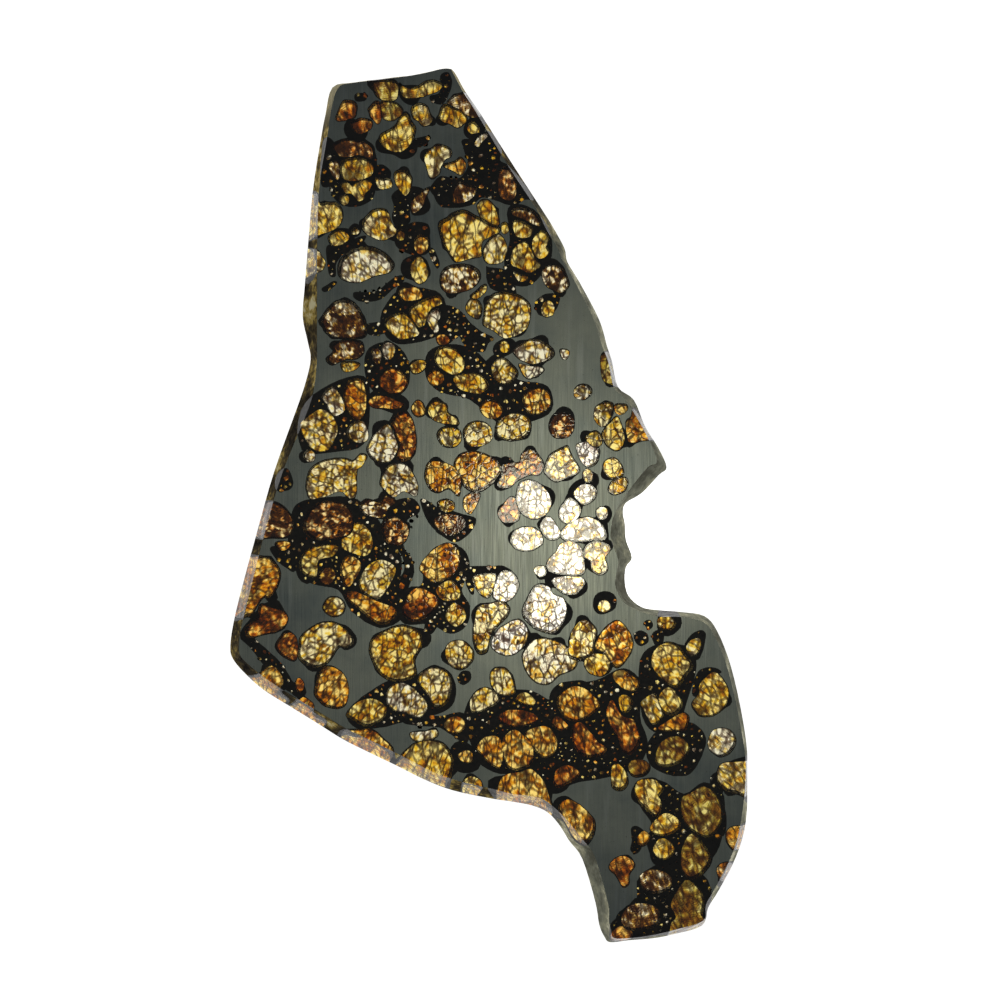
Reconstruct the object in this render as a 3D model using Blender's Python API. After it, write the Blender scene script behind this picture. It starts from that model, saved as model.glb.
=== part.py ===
# Pallasite meteorite slice: one polished plate of iron-nickel metal, set through with olivine crystals.
# It lies flat on its sawn back, +Z up, with +Y along its long side. Metres.

import bmesh
import bpy

# Driving dimensions
LENGTH = 0.132  # along Y, over the widest points of the back
THICKNESS = 0.003  # between the two polished faces
GAP = 0.0003  # clearance between a crystal and its socket in the metal
JOIN = 0.0005  # how far a crystal's corner reaches towards one that it grew together with
NEAR = 0.0011  # a corner this near to another crystal of its group reaches towards it
TOLERANCE = 0.0004  # a point nearer than this to the line between its neighbours isn't needed
TAPER = 0.96  # a crystal's size on the back, as a share of its size on the front
OVERSHOOT = 0.001  # how far a cutter stands past both faces

# The outlines below were read by eye off the photograph, in its own pixels.
PHOTO_TOP, PHOTO_BOTTOM = 66, 946  # the slice's furthest points up and down
PHOTO_LEFT, PHOTO_RIGHT = 228, 750  # and to the left and right
PIXEL = LENGTH / (PHOTO_BOTTOM - PHOTO_TOP)

# Round the slice, each point of the back's outline with the point of the front's outline above it.
RIM = [
    ((331, 84), (338, 88)), ((352, 79), (352, 83)), ((385, 75), (386, 79)), ((420, 71), (420, 74)),
    ((440, 66), (441, 69)), ((450, 66), (450, 69)), ((455, 70), (453, 73)), ((465, 88), (462, 90)),
    ((480, 110), (476, 112)), ((515, 165), (509, 167)), ((543, 208), (537, 210)), ((553, 224), (545, 227)),
    ((565, 246), (558, 249)), ((568, 260), (563, 262)), ((580, 280), (575, 282)), ((600, 318), (594, 320)),
    ((608, 345), (602, 346)), ((613, 360), (608, 361)), ((619, 386), (614, 388)), ((635, 399), (624, 398)),
    ((646, 425), (640, 423)), ((660, 448), (652, 447)), ((668, 467), (657, 462)), ((660, 475), (648, 467)),
    ((643, 493), (633, 485)), ((627, 503), (621, 502)), ((624, 513), (614, 515)), ((626, 524), (611, 528)),
    ((627, 540), (611, 540)), ((633, 558), (617, 556)), ((627, 568), (618, 565)), ((626, 583), (615, 582)),
    ((630, 597), (618, 593)), ((643, 608), (628, 606)), ((660, 611), (655, 616)), ((684, 613), (682, 617)),
    ((706, 617), (703, 622)), ((719, 632), (714, 635)), ((733, 668), (728, 670)), ((745, 722), (740, 723)),
    ((750, 767), (746, 768)), ((748, 824), (741, 822)), ((738, 860), (731, 857)), ((721, 893), (714, 890)),
    ((710, 911), (706, 905)), ((704, 929), (703, 921)), ((675, 938), (674, 930)), ((654, 942), (653, 935)),
    ((630, 944), (631, 938)), ((611, 946), (614, 938)), ((605, 940), (611, 930)), ((600, 928), (609, 920)),
    ((596, 905), (608, 903)), ((583, 862), (595, 857)), ((570, 844), (583, 840)), ((560, 828), (571, 825)),
    ((548, 815), (557, 810)), ((532, 808), (540, 798)), ((511, 804), (513, 794)), ((491, 801), (493, 789)),
    ((453, 793), (455, 780)), ((424, 782), (429, 770)), ((396, 768), (402, 756)), ((369, 755), (376, 743)),
    ((341, 741), (347, 729)), ((314, 724), (321, 713)), ((288, 708), (296, 698)), ((261, 691), (268, 680)),
    ((241, 673), (249, 665)), ((230, 659), (240, 655)), ((228, 647), (239, 643)), ((231, 625), (242, 624)),
    ((239, 591), (250, 591)), ((255, 532), (265, 532)), ((272, 472), (282, 474)), ((296, 405), (309, 407)),
    ((304, 381), (315, 381)), ((309, 358), (317, 358)), ((306, 340), (317, 340)), ((301, 315), (317, 315)),
    ((303, 285), (317, 285)), ((305, 260), (317, 260)), ((311, 190), (319, 190)), ((319, 138), (327, 138)),
    ((324, 111), (331, 111)),
]

# Base colours of the crystals by tone, as linear RGB.
TONES = {
    "white": (0.98, 0.97, 0.90),
    "pale": (0.90, 0.82, 0.58),
    "straw": (0.86, 0.68, 0.27),
    "gold": (0.80, 0.50, 0.08),
    "amber": (0.74, 0.28, 0.03),
    "rust": (0.40, 0.08, 0.01),
    "olive": (0.42, 0.31, 0.07),
    "umber": (0.10, 0.05, 0.02),
    "ember": (0.14, 0.03, 0.01),
}
METAL = (0.10, 0.11, 0.10)
METAL_ROUGHNESS = 0.3
CRYSTAL_ROUGHNESS = 0.08
OLIVINE_IOR = 1.66

# Each solid of olivine: the crystals that grew together in it, each with its tone and its outline on the front.
CRYSTALS = {
    "crown_crystals": [
        ("olive", [(371, 82), (380, 80), (393, 81), (398, 85), (398, 92), (395, 100), (382, 100), (375, 94)]),
        ("gold", [(399, 83), (403, 86), (410, 88), (418, 86), (424, 82), (431, 80), (438, 81), (442, 84),
                  (441, 88), (436, 92), (428, 95), (421, 97), (413, 98), (406, 98), (401, 94)]),
        ("olive", [(381, 102), (388, 101), (395, 102), (400, 106), (403, 110), (401, 115), (396, 119),
                   (391, 121), (384, 119), (381, 111)]),
        ("gold", [(405, 112), (409, 115), (410, 119), (414, 124), (416, 129), (414, 136), (412, 143),
                  (407, 149), (401, 152), (393, 152), (386, 149), (381, 144), (379, 139), (382, 133),
                  (389, 130), (395, 125), (399, 119)]),
        ("rust", [(343, 101), (349, 100), (355, 102), (357, 108), (355, 117), (349, 119), (344, 121),
                  (338, 121), (336, 117), (339, 109)]),
        ("rust", [(350, 122), (356, 120), (361, 118), (371, 120), (372, 126), (368, 131), (359, 134), (353, 130)]),
        ("rust", [(370, 106), (375, 101), (380, 103), (381, 118), (378, 124), (374, 120), (368, 111)]),
        ("straw", [(411, 109), (414, 105), (420, 103), (427, 106), (430, 113), (433, 119), (429, 125),
                   (423, 126), (418, 121), (413, 118)]),
    ],
    "upper_left_crystals": [
        ("gold", [(340, 163), (345, 159), (359, 157), (369, 161), (373, 167), (372, 174), (366, 178),
                  (354, 181), (344, 179), (340, 172)]),
        ("umber", [(329, 163), (334, 161), (339, 163), (339, 179), (334, 177), (330, 171)]),
        ("ember", [(332, 146), (338, 141), (346, 139), (354, 141), (362, 141), (369, 145), (372, 152),
                   (371, 159), (360, 155), (348, 157), (340, 156), (335, 151)]),
        ("gold", [(341, 184), (347, 182), (352, 186), (356, 182), (364, 180), (372, 183), (370, 189),
                  (365, 194), (364, 199), (358, 201), (352, 194), (345, 193)]),
        ("gold", [(339, 199), (342, 195), (347, 195), (349, 199), (347, 204), (342, 205)]),
        ("straw", [(375, 177), (382, 178), (389, 178), (392, 182), (391, 187), (381, 189), (376, 184)]),
        ("gold", [(394, 175), (397, 171), (402, 169), (408, 172), (412, 178), (411, 187), (409, 192),
                  (405, 196), (400, 190), (396, 184)]),
    ],
    "north_crystals": [
        ("straw", [(424, 158), (427, 152), (433, 147), (437, 144), (443, 145), (449, 148), (452, 153),
                   (450, 157), (445, 160), (441, 168), (439, 174), (433, 178), (429, 176), (427, 168)]),
        ("amber", [(443, 165), (455, 161), (460, 157), (464, 160), (466, 165), (464, 171), (460, 175), (453, 171)]),
    ],
    "north_rim_crystals": [
        ("gold", [(438, 117), (441, 108), (445, 104), (451, 107), (459, 110), (466, 116), (467, 121),
                  (463, 125), (457, 128), (450, 124), (443, 122)]),
        ("umber", [(447, 103), (451, 98), (457, 94), (464, 92), (470, 91), (482, 112), (476, 118), (467, 115),
                   (459, 109)]),
        ("gold", [(467, 127), (470, 122), (475, 122), (480, 129), (477, 133), (470, 133)]),
        ("pale", [(474, 143), (479, 136), (485, 133), (488, 136), (482, 142), (478, 147)]),
    ],
    "hook_crystal": [
        ("ember", [(498, 183), (500, 170), (506, 166), (512, 171), (516, 183), (516, 194), (511, 200),
                   (504, 199), (499, 193)]),
    ],
    "dim_north_crystal": [
        ("umber", [(452, 199), (455, 186), (461, 181), (470, 185), (477, 186), (475, 195), (466, 202), (456, 203)]),
    ],
    "great_north_crystals": [
        ("gold", [(439, 222), (446, 218), (452, 213), (464, 210), (475, 215), (486, 221), (499, 227),
                  (499, 232), (492, 236), (484, 240), (481, 246), (481, 256), (472, 258), (458, 262),
                  (452, 259), (443, 243), (439, 231)]),
        ("gold", [(477, 206), (479, 202), (484, 199), (490, 201), (495, 207), (499, 219), (498, 226),
                  (490, 223), (481, 217)]),
        ("straw", [(498, 234), (504, 239), (507, 248), (505, 257), (502, 262), (495, 264), (487, 263),
                   (483, 256), (484, 247), (490, 239)]),
        ("gold", [(501, 225), (505, 222), (509, 226), (508, 232), (503, 233)]),
    ],
    "north_east_crystals": [
        ("gold", [(513, 222), (520, 220), (531, 226), (534, 231), (530, 237), (521, 238), (515, 234)]),
        ("umber", [(511, 212), (514, 208), (521, 207), (532, 210), (540, 218), (541, 226), (533, 224),
                   (524, 219), (515, 216)]),
        ("gold", [(533, 239), (537, 233), (542, 230), (548, 234), (549, 241), (547, 246), (549, 252),
                  (545, 257), (538, 258), (533, 250)]),
        ("gold", [(511, 257), (514, 248), (520, 243), (526, 242), (532, 250), (536, 259), (541, 266),
                  (535, 271), (529, 273), (520, 269), (512, 265)]),
        ("straw", [(513, 271), (521, 274), (529, 275), (526, 280), (519, 281)]),
    ],
    "east_rim_crystal": [
        ("umber", [(542, 272), (547, 266), (556, 265), (563, 269), (568, 279), (569, 286), (562, 293),
                   (553, 290), (545, 284)]),
    ],
    "west_of_north_crystal": [
        ("straw", [(362, 223), (365, 217), (370, 212), (376, 209), (384, 209), (389, 214), (391, 222),
                   (396, 230), (394, 235), (387, 239), (379, 240), (367, 234), (362, 229)]),
    ],
    "west_rim_crystal": [
        ("gold", [(300, 190), (316, 192), (319, 202), (327, 202), (335, 202), (340, 206), (343, 213), (342, 221),
                  (338, 227), (331, 231), (322, 234), (300, 237)]),
    ],
    "pale_oval_crystal": [
        ("pale", [(338, 266), (340, 260), (350, 250), (358, 247), (367, 246), (376, 248), (385, 253),
                  (392, 260), (394, 267), (388, 273), (375, 276), (361, 282), (350, 282), (342, 279),
                  (338, 273)]),
    ],
    "west_rim_lower_crystal": [
        ("straw", [(296, 246), (315, 249), (321, 255), (325, 262), (323, 269), (316, 273), (296, 276)]),
    ],
    "upright_crystal": [
        ("gold", [(417, 257), (422, 258), (427, 267), (428, 275), (425, 281), (419, 284), (414, 280),
                  (410, 271), (411, 264)]),
    ],
    "black_rimmed_crystal": [
        ("umber", [(440, 278), (443, 270), (449, 266), (459, 264), (470, 265), (478, 270), (481, 277),
                   (477, 284), (468, 290), (455, 293), (446, 292), (441, 287)]),
    ],
    "west_dark_crystals": [
        ("umber", [(321, 321), (327, 309), (336, 301), (347, 300), (355, 303), (362, 313), (367, 326),
                   (365, 337), (352, 339), (335, 338), (326, 333)]),
        ("umber", [(332, 345), (340, 341), (351, 340), (362, 343), (364, 352), (357, 359), (344, 360),
                   (332, 365), (326, 359), (333, 352)]),
        ("gold", [(341, 363), (350, 361), (360, 364), (354, 370), (344, 371)]),
    ],
    "sheaf_crystals": [
        ("amber", [(398, 293), (403, 288), (415, 287), (421, 291), (423, 296), (418, 300), (404, 301)]),
        ("gold", [(409, 308), (420, 301), (432, 296), (440, 296), (442, 303), (433, 307), (428, 313),
                  (424, 325), (417, 327), (411, 319)]),
        ("pale", [(431, 312), (438, 308), (441, 315), (438, 322), (440, 330), (435, 333), (429, 325), (427, 317)]),
        ("straw", [(384, 323), (388, 317), (400, 312), (407, 315), (415, 325), (419, 334), (409, 338),
                   (399, 339), (390, 332)]),
    ],
    "mosaic_crystals": [
        ("straw", [(485, 305), (491, 296), (498, 292), (508, 292), (521, 296), (530, 305), (530, 319),
                   (526, 329), (514, 336), (504, 338), (494, 331), (483, 325), (484, 315)]),
        ("straw", [(466, 305), (471, 299), (478, 300), (482, 308), (480, 318), (474, 318), (467, 312)]),
        ("gold", [(470, 296), (476, 291), (485, 284), (487, 289), (481, 296), (474, 299)]),
    ],
    "barbell_crystal": [
        ("straw", [(541, 309), (544, 302), (550, 301), (554, 306), (553, 314), (547, 317), (542, 315)]),
    ],
    "cream_crystals": [
        ("gold", [(499, 346), (503, 341), (508, 343), (510, 348), (507, 353), (501, 352)]),
        ("pale", [(513, 350), (524, 342), (532, 339), (543, 341), (553, 349), (554, 356), (547, 361),
                  (536, 364), (528, 363), (518, 358)]),
        ("pale", [(519, 364), (528, 366), (540, 367), (544, 370), (538, 376), (529, 379), (523, 375)]),
        ("straw", [(491, 366), (497, 359), (504, 358), (513, 365), (518, 372), (516, 379), (505, 385),
                   (496, 381), (492, 373)]),
    ],
    "north_button_crystal": [
        ("pale", [(574, 391), (577, 386), (582, 384), (588, 385), (592, 390), (590, 396), (583, 400), (575, 397)]),
    ],
    "east_sliver_crystal": [
        ("olive", [(601, 358), (604, 352), (612, 352), (622, 384), (607, 383), (602, 376)]),
    ],
    "east_point_crystals": [
        ("straw", [(594, 414), (596, 407), (601, 403), (608, 402), (613, 404), (613, 413), (607, 425),
                   (600, 426), (595, 420)]),
        ("gold", [(602, 432), (610, 422), (617, 416), (621, 424), (625, 438), (622, 447), (616, 451),
                  (607, 446), (603, 439)]),
        ("amber", [(615, 405), (625, 404), (628, 408), (623, 414), (616, 413)]),
        ("gold", [(586, 436), (591, 432), (597, 431), (602, 437), (601, 445), (594, 446), (587, 441)]),
        ("white", [(576, 446), (582, 442), (590, 442), (599, 449), (599, 457), (595, 465), (588, 467),
                   (582, 463), (578, 454)]),
    ],
    "east_edge_crystal": [
        ("amber", [(626, 422), (631, 417), (636, 408), (662, 436), (642, 441), (634, 443), (628, 440)]),
    ],
    "striped_east_crystal": [
        ("straw", [(544, 470), (549, 456), (561, 448), (568, 446), (572, 456), (580, 471), (567, 478),
                   (556, 482), (548, 477)]),
    ],
    "east_twin_crystals": [
        ("gold", [(603, 466), (606, 460), (615, 458), (621, 464), (623, 475), (613, 479), (605, 474)]),
        ("gold", [(609, 486), (614, 480), (625, 477), (628, 483), (624, 491), (615, 495), (609, 492)]),
    ],
    "white_chain_crystals": [
        ("gold", [(583, 472), (588, 469), (593, 475), (591, 482), (585, 482)]),
        ("white", [(574, 495), (577, 488), (584, 484), (592, 485), (597, 491), (594, 500), (585, 505), (578, 501)]),
        ("white", [(559, 510), (564, 502), (570, 497), (579, 505), (581, 512), (576, 520), (567, 524), (560, 519)]),
    ],
    "heart_crystals": [
        ("amber", [(425, 470), (428, 463), (436, 461), (448, 464), (457, 470), (461, 480), (459, 496),
                   (449, 489), (438, 493), (430, 489), (425, 479)]),
        ("amber", [(454, 466), (459, 455), (471, 451), (483, 453), (495, 459), (502, 468), (499, 476),
                   (491, 485), (479, 492), (467, 489), (460, 478)]),
        ("rust", [(501, 466), (510, 463), (519, 462), (522, 454), (529, 449), (538, 454), (544, 466),
                  (539, 475), (530, 475), (519, 480), (508, 488), (497, 486), (501, 476)]),
        ("white", [(516, 497), (519, 484), (526, 480), (537, 482), (547, 491), (550, 502), (545, 511),
                   (536, 517), (526, 517), (518, 508)]),
        ("rust", [(498, 512), (504, 504), (510, 497), (517, 500), (520, 514), (517, 521), (507, 523), (500, 519)]),
    ],
    "bright_crystals": [
        ("white", [(543, 528), (547, 520), (552, 518), (557, 526), (561, 534), (555, 540), (545, 537)]),
        ("white", [(560, 536), (564, 528), (576, 520), (589, 517), (601, 523), (606, 532), (605, 540),
                   (592, 541), (577, 542), (566, 541)]),
        ("white", [(547, 562), (556, 552), (561, 544), (572, 541), (581, 548), (584, 560), (584, 573),
                   (571, 576), (553, 573), (547, 569)]),
        ("straw", [(584, 548), (593, 541), (606, 543), (611, 549), (605, 558), (608, 569), (601, 575),
                   (592, 571), (590, 561), (583, 556)]),
        ("white", [(552, 580), (560, 577), (580, 577), (585, 583), (578, 593), (567, 595), (556, 588)]),
    ],
    "left_white_crystal": [
        ("white", [(511, 537), (515, 530), (525, 527), (535, 528), (542, 536), (542, 544), (530, 551),
                   (518, 550), (511, 544)]),
    ],
    "central_crystals": [
        ("white", [(522, 614), (526, 600), (533, 588), (540, 584), (549, 587), (553, 594), (563, 598),
                   (567, 608), (564, 621), (555, 633), (543, 632), (530, 625)]),
        ("white", [(491, 646), (496, 632), (506, 624), (519, 619), (528, 629), (526, 643), (515, 654),
                   (503, 655)]),
        ("straw", [(473, 640), (474, 620), (479, 606), (490, 603), (502, 601), (510, 608), (507, 617),
                   (496, 628), (490, 640), (487, 652), (478, 654)]),
        ("straw", [(472, 580), (476, 575), (488, 573), (496, 575), (493, 590), (488, 598), (480, 594)]),
        ("white", [(496, 580), (503, 570), (513, 573), (519, 583), (515, 595), (505, 602), (493, 597)]),
    ],
    "south_crown_crystals": [
        ("straw", [(569, 645), (571, 633), (580, 621), (589, 621), (597, 631), (594, 644), (592, 655),
                   (578, 661), (568, 656)]),
        ("amber", [(603, 630), (611, 623), (619, 621), (628, 630), (633, 643), (629, 656), (618, 668),
                   (610, 662), (604, 653), (594, 647)]),
        ("gold", [(585, 658), (593, 653), (608, 656), (610, 666), (603, 676), (591, 674), (585, 667)]),
        ("pale", [(522, 657), (529, 644), (538, 638), (555, 640), (569, 648), (578, 658), (574, 669),
                  (560, 675), (549, 684), (537, 683), (527, 673)]),
    ],
    "east_gold_crystals": [
        ("gold", [(651, 659), (657, 647), (667, 642), (678, 645), (687, 656), (694, 666), (685, 679),
                  (678, 688), (667, 684), (655, 672)]),
        ("straw", [(686, 648), (690, 641), (699, 638), (701, 647), (695, 656), (688, 655)]),
        ("gold", [(658, 701), (663, 690), (671, 688), (680, 697), (683, 706), (674, 716), (664, 713)]),
        ("straw", [(641, 702), (653, 693), (659, 699), (664, 716), (653, 725), (645, 712)]),
        ("amber", [(659, 727), (668, 721), (682, 713), (689, 717), (686, 730), (673, 731), (661, 731)]),
    ],
    "black_capped_crystal": [
        ("gold", [(692, 703), (699, 693), (699, 686), (706, 677), (715, 672), (725, 682), (729, 694),
                  (725, 707), (713, 716), (700, 716), (694, 710)]),
    ],
    "east_button_crystal": [
        ("pale", [(708, 741), (713, 731), (722, 728), (731, 731), (736, 741), (731, 752), (720, 757), (710, 750)]),
    ],
    "south_east_rim_crystal": [
        ("straw", [(720, 765), (735, 762), (756, 765), (756, 800), (740, 795), (726, 791), (717, 781)]),
    ],
    "south_east_crystals": [
        ("gold", [(634, 788), (640, 780), (655, 780), (664, 789), (659, 797), (662, 804), (658, 819),
                  (646, 811), (637, 800)]),
        ("olive", [(681, 799), (690, 793), (704, 786), (715, 793), (722, 808), (720, 826), (708, 838),
                   (692, 831), (682, 818)]),
        ("gold", [(650, 828), (658, 818), (667, 813), (679, 820), (680, 829), (666, 836), (655, 834)]),
        ("gold", [(653, 850), (659, 839), (668, 840), (675, 850), (668, 859), (658, 858)]),
        ("olive", [(681, 862), (683, 845), (693, 832), (705, 845), (712, 859), (704, 873), (692, 880), (683, 872)]),
    ],
    "south_west_of_foot_crystal": [
        ("rust", [(609, 868), (613, 860), (624, 856), (635, 864), (629, 875), (629, 884), (623, 887), (616, 876)]),
    ],
    "foot_crystals": [
        ("olive", [(680, 887), (688, 880), (699, 888), (705, 902), (703, 917), (710, 926), (690, 944),
                   (670, 944), (671, 925), (676, 917), (671, 904)]),
    ],
    "left_shoulder_crystals": [
        ("amber", [(343, 398), (346, 384), (352, 378), (362, 379), (366, 393), (365, 412), (357, 421),
                   (347, 411)]),
        ("pale", [(321, 397), (326, 390), (333, 386), (340, 394), (345, 410), (333, 416), (326, 404)]),
        ("straw", [(300, 426), (306, 418), (320, 409), (332, 415), (338, 430), (330, 448), (320, 452),
                   (309, 446)]),
        ("pale", [(347, 430), (352, 423), (362, 420), (368, 433), (366, 441), (357, 443), (348, 438)]),
    ],
    "left_centre_crystals": [
        ("pale", [(367, 449), (371, 439), (379, 429), (388, 424), (394, 436), (398, 447), (391, 461), (379, 463),
                  (370, 457)]),
        ("rust", [(391, 421), (402, 411), (411, 417), (416, 435), (415, 453), (406, 462), (396, 459), (399, 446),
                  (395, 434)]),
        ("pale", [(380, 482), (384, 470), (394, 463), (407, 465), (417, 482), (416, 496), (404, 491),
                  (393, 497), (383, 488)]),
        ("umber", [(359, 508), (366, 499), (380, 502), (386, 494), (396, 501), (388, 508), (383, 518), (368, 516)]),
    ],
    "half_moon_crystal": [
        ("straw", [(306, 482), (311, 468), (325, 460), (344, 458), (353, 461), (360, 454), (367, 456),
                   (362, 466), (357, 471), (356, 494), (350, 498), (340, 491), (326, 496), (311, 499),
                   (307, 492)]),
    ],
    "west_edge_crystal": [
        ("ember", [(260, 505), (276, 502), (289, 512), (294, 524), (288, 537), (272, 538), (252, 536)]),
    ],
    "dark_heart_crystals": [
        ("ember", [(302, 522), (309, 509), (322, 501), (343, 503), (353, 516), (352, 532), (338, 540),
                   (316, 540), (304, 533)]),
        ("gold", [(341, 543), (345, 529), (358, 522), (369, 529), (373, 545), (365, 556), (346, 550)]),
        ("gold", [(299, 562), (306, 550), (322, 545), (338, 546), (333, 556), (318, 560), (316, 577), (302, 573)]),
        ("amber", [(340, 566), (349, 555), (361, 563), (356, 577), (346, 588)]),
    ],
    "dark_heart_south_crystals": [
        ("straw", [(359, 581), (367, 566), (382, 560), (396, 569), (387, 590), (376, 600), (362, 592)]),
        ("amber", [(344, 596), (354, 591), (376, 601), (397, 610), (390, 623), (377, 624), (358, 609)]),
    ],
    "black_ringed_crystal": [
        ("straw", [(323, 606), (328, 598), (338, 597), (345, 604), (343, 613), (334, 617), (325, 612)]),
    ],
    "west_low_crystals": [
        ("amber", [(234, 560), (257, 556), (270, 558), (280, 570), (279, 583), (271, 597), (263, 598),
                   (252, 614), (246, 617), (226, 618)]),
        ("rust", [(260, 604), (270, 607), (284, 611), (288, 621), (277, 632), (266, 634), (247, 638), (245, 627),
                  (256, 619)]),
    ],
    "two_lobed_crystals": [
        ("straw", [(299, 645), (301, 636), (312, 627), (323, 622), (337, 623), (349, 632), (354, 642),
                   (347, 648), (339, 647), (328, 663), (313, 668), (299, 659)]),
        ("rust", [(275, 647), (281, 636), (289, 632), (297, 640), (296, 660), (284, 657)]),
        ("amber", [(315, 686), (321, 668), (334, 667), (346, 678), (348, 698), (341, 708), (325, 706), (315, 696)]),
    ],
    "south_west_rim_crystal": [
        ("amber", [(240, 682), (257, 675), (272, 665), (284, 680), (280, 692), (288, 702), (270, 712)]),
    ],
    "south_rim_flame_crystal": [
        ("amber", [(285, 712), (292, 704), (303, 697), (314, 705), (313, 713), (326, 722), (312, 734)]),
    ],
    "south_fan_crystals": [
        ("gold", [(346, 714), (358, 702), (374, 699), (387, 709), (382, 720), (366, 727), (352, 720)]),
        ("amber", [(358, 729), (372, 729), (382, 737), (394, 752), (382, 774), (336, 752), (340, 732)]),
    ],
    "south_gold_crystals": [
        ("gold", [(398, 760), (409, 747), (424, 740), (443, 743), (454, 760), (450, 782), (440, 800),
                  (392, 778)]),
        ("pale", [(410, 733), (422, 732), (436, 730), (437, 737), (424, 742), (413, 740)]),
    ],
    "left_mosaic_crystals": [
        ("gold", [(369, 650), (374, 637), (392, 627), (405, 625), (420, 632), (423, 645), (415, 660),
                  (416, 676), (402, 682), (388, 680), (376, 669)]),
        ("pale", [(388, 688), (402, 682), (418, 692), (428, 706), (420, 718), (406, 713), (394, 711),
                  (386, 702)]),
        ("straw", [(418, 682), (421, 672), (434, 667), (449, 672), (452, 688), (447, 704), (436, 708), (427, 694)]),
    ],
    "middle_dark_crystals": [
        ("rust", [(402, 612), (409, 593), (421, 588), (439, 600), (428, 617), (412, 622)]),
        ("gold", [(436, 592), (440, 585), (452, 580), (461, 592), (458, 600), (444, 601)]),
        ("gold", [(445, 614), (453, 602), (463, 608), (466, 618), (457, 627), (448, 622)]),
    ],
    "flame_crystal": [
        ("amber", [(420, 566), (431, 552), (447, 543), (460, 552), (457, 571), (447, 579), (434, 583), (423, 574)]),
    ],
    "middle_straw_crystal": [
        ("straw", [(445, 653), (450, 642), (463, 641), (473, 650), (472, 662), (461, 670), (450, 665)]),
    ],
    "south_middle_crystals": [
        ("straw", [(491, 672), (498, 667), (509, 671), (516, 690), (512, 695), (499, 694), (491, 685)]),
        ("straw", [(470, 708), (472, 697), (482, 688), (493, 690), (500, 700), (488, 709), (474, 713)]),
        ("gold", [(515, 698), (524, 692), (535, 700), (532, 706), (520, 703)]),
    ],
    "south_orange_crystals": [
        ("amber", [(476, 747), (484, 737), (498, 737), (503, 752), (500, 768), (490, 764), (482, 756)]),
        ("amber", [(502, 742), (513, 730), (523, 735), (533, 747), (532, 764), (516, 771), (506, 764)]),
        ("amber", [(524, 734), (536, 727), (548, 727), (557, 740), (555, 753), (544, 758), (534, 750)]),
    ],
    "south_rim_amber_crystals": [
        ("amber", [(520, 772), (531, 769), (542, 779), (548, 793), (552, 822), (520, 822), (496, 816),
                   (498, 784), (508, 774)]),
    ],
}


def clear_scene():
    for obj in list(bpy.data.objects):
        bpy.data.objects.remove(obj, do_unlink=True)


def collection(name, hidden=False):
    made = bpy.data.collections.new(name)
    bpy.context.scene.collection.children.link(made)
    made.hide_render = hidden
    return made


def place(point):
    """A point of the photograph as x and y in metres, from the middle of the slice's box."""
    x = (point[0] - (PHOTO_LEFT + PHOTO_RIGHT) / 2) * PIXEL
    y = ((PHOTO_TOP + PHOTO_BOTTOM) / 2 - point[1]) * PIXEL
    return x, y


def signed_area(points):
    ends = points[1:] + points[:1]
    return sum(a[0] * b[1] - b[0] * a[1] for a, b in zip(points, ends)) / 2


def counter_clockwise(points):
    return points if signed_area(points) > 0 else points[::-1]


def grown(points, distances):
    """The outline moved outwards, each corner by its own distance along the bisector of its two sides."""
    count = len(points)
    moved = []
    for i, (x, y) in enumerate(points):
        before, after = points[i - 1], points[(i + 1) % count]
        normals = []
        for a, b in ((before, (x, y)), ((x, y), after)):
            dx, dy = b[0] - a[0], b[1] - a[1]
            length = (dx * dx + dy * dy) ** 0.5
            normals.append((dy / length, -dx / length))
        nx = normals[0][0] + normals[1][0]
        ny = normals[0][1] + normals[1][1]
        reach = distances[i] / max(0.6, (nx * nx + ny * ny) / 2)
        moved.append((x + nx * reach, y + ny * reach))
    return moved


def distance_to(point, outline):
    """How far a point is from the nearest side of an outline."""
    least = LENGTH
    for a, b in zip(outline, outline[1:] + outline[:1]):
        dx, dy = b[0] - a[0], b[1] - a[1]
        along = ((point[0] - a[0]) * dx + (point[1] - a[1]) * dy) / (dx * dx + dy * dy)
        along = min(1, max(0, along))
        gap_x, gap_y = point[0] - a[0] - along * dx, point[1] - a[1] - along * dy
        least = min(least, (gap_x * gap_x + gap_y * gap_y) ** 0.5)
    return least


def thinned(points):
    """The outline with only the points that its shape needs."""
    kept = list(points)
    while len(kept) > 5:
        offsets = []
        for i, (x, y) in enumerate(kept):
            (ax, ay), (bx, by) = kept[i - 1], kept[(i + 1) % len(kept)]
            length = ((bx - ax) ** 2 + (by - ay) ** 2) ** 0.5
            offsets.append(abs((bx - ax) * (y - ay) - (by - ay) * (x - ax)) / length)
        least = min(offsets)
        if least > TOLERANCE:
            break
        kept.pop(offsets.index(least))
    return kept


def scaled(points, factor):
    mid_x = sum(x for x, _ in points) / len(points)
    mid_y = sum(y for _, y in points) / len(points)
    return [(mid_x + (x - mid_x) * factor, mid_y + (y - mid_y) * factor) for x, y in points]


def loft(name, low, high, low_z, high_z, home):
    """A closed solid between two outlines with as many points, one above the other."""
    bm = bmesh.new()
    bottom = [bm.verts.new((x, y, low_z)) for x, y in low]
    top = [bm.verts.new((x, y, high_z)) for x, y in high]
    bm.faces.new(bottom[::-1])
    bm.faces.new(top)
    count = len(bottom)
    for i in range(count):
        j = (i + 1) % count
        bm.faces.new((bottom[i], bottom[j], top[j], top[i]))
    bmesh.ops.triangulate(bm, faces=[face for face in bm.faces if len(face.verts) > 4])
    mesh = bpy.data.meshes.new(name)
    bm.to_mesh(mesh)
    bm.free()
    obj = bpy.data.objects.new(name, mesh)
    home.objects.link(obj)
    return obj


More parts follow.
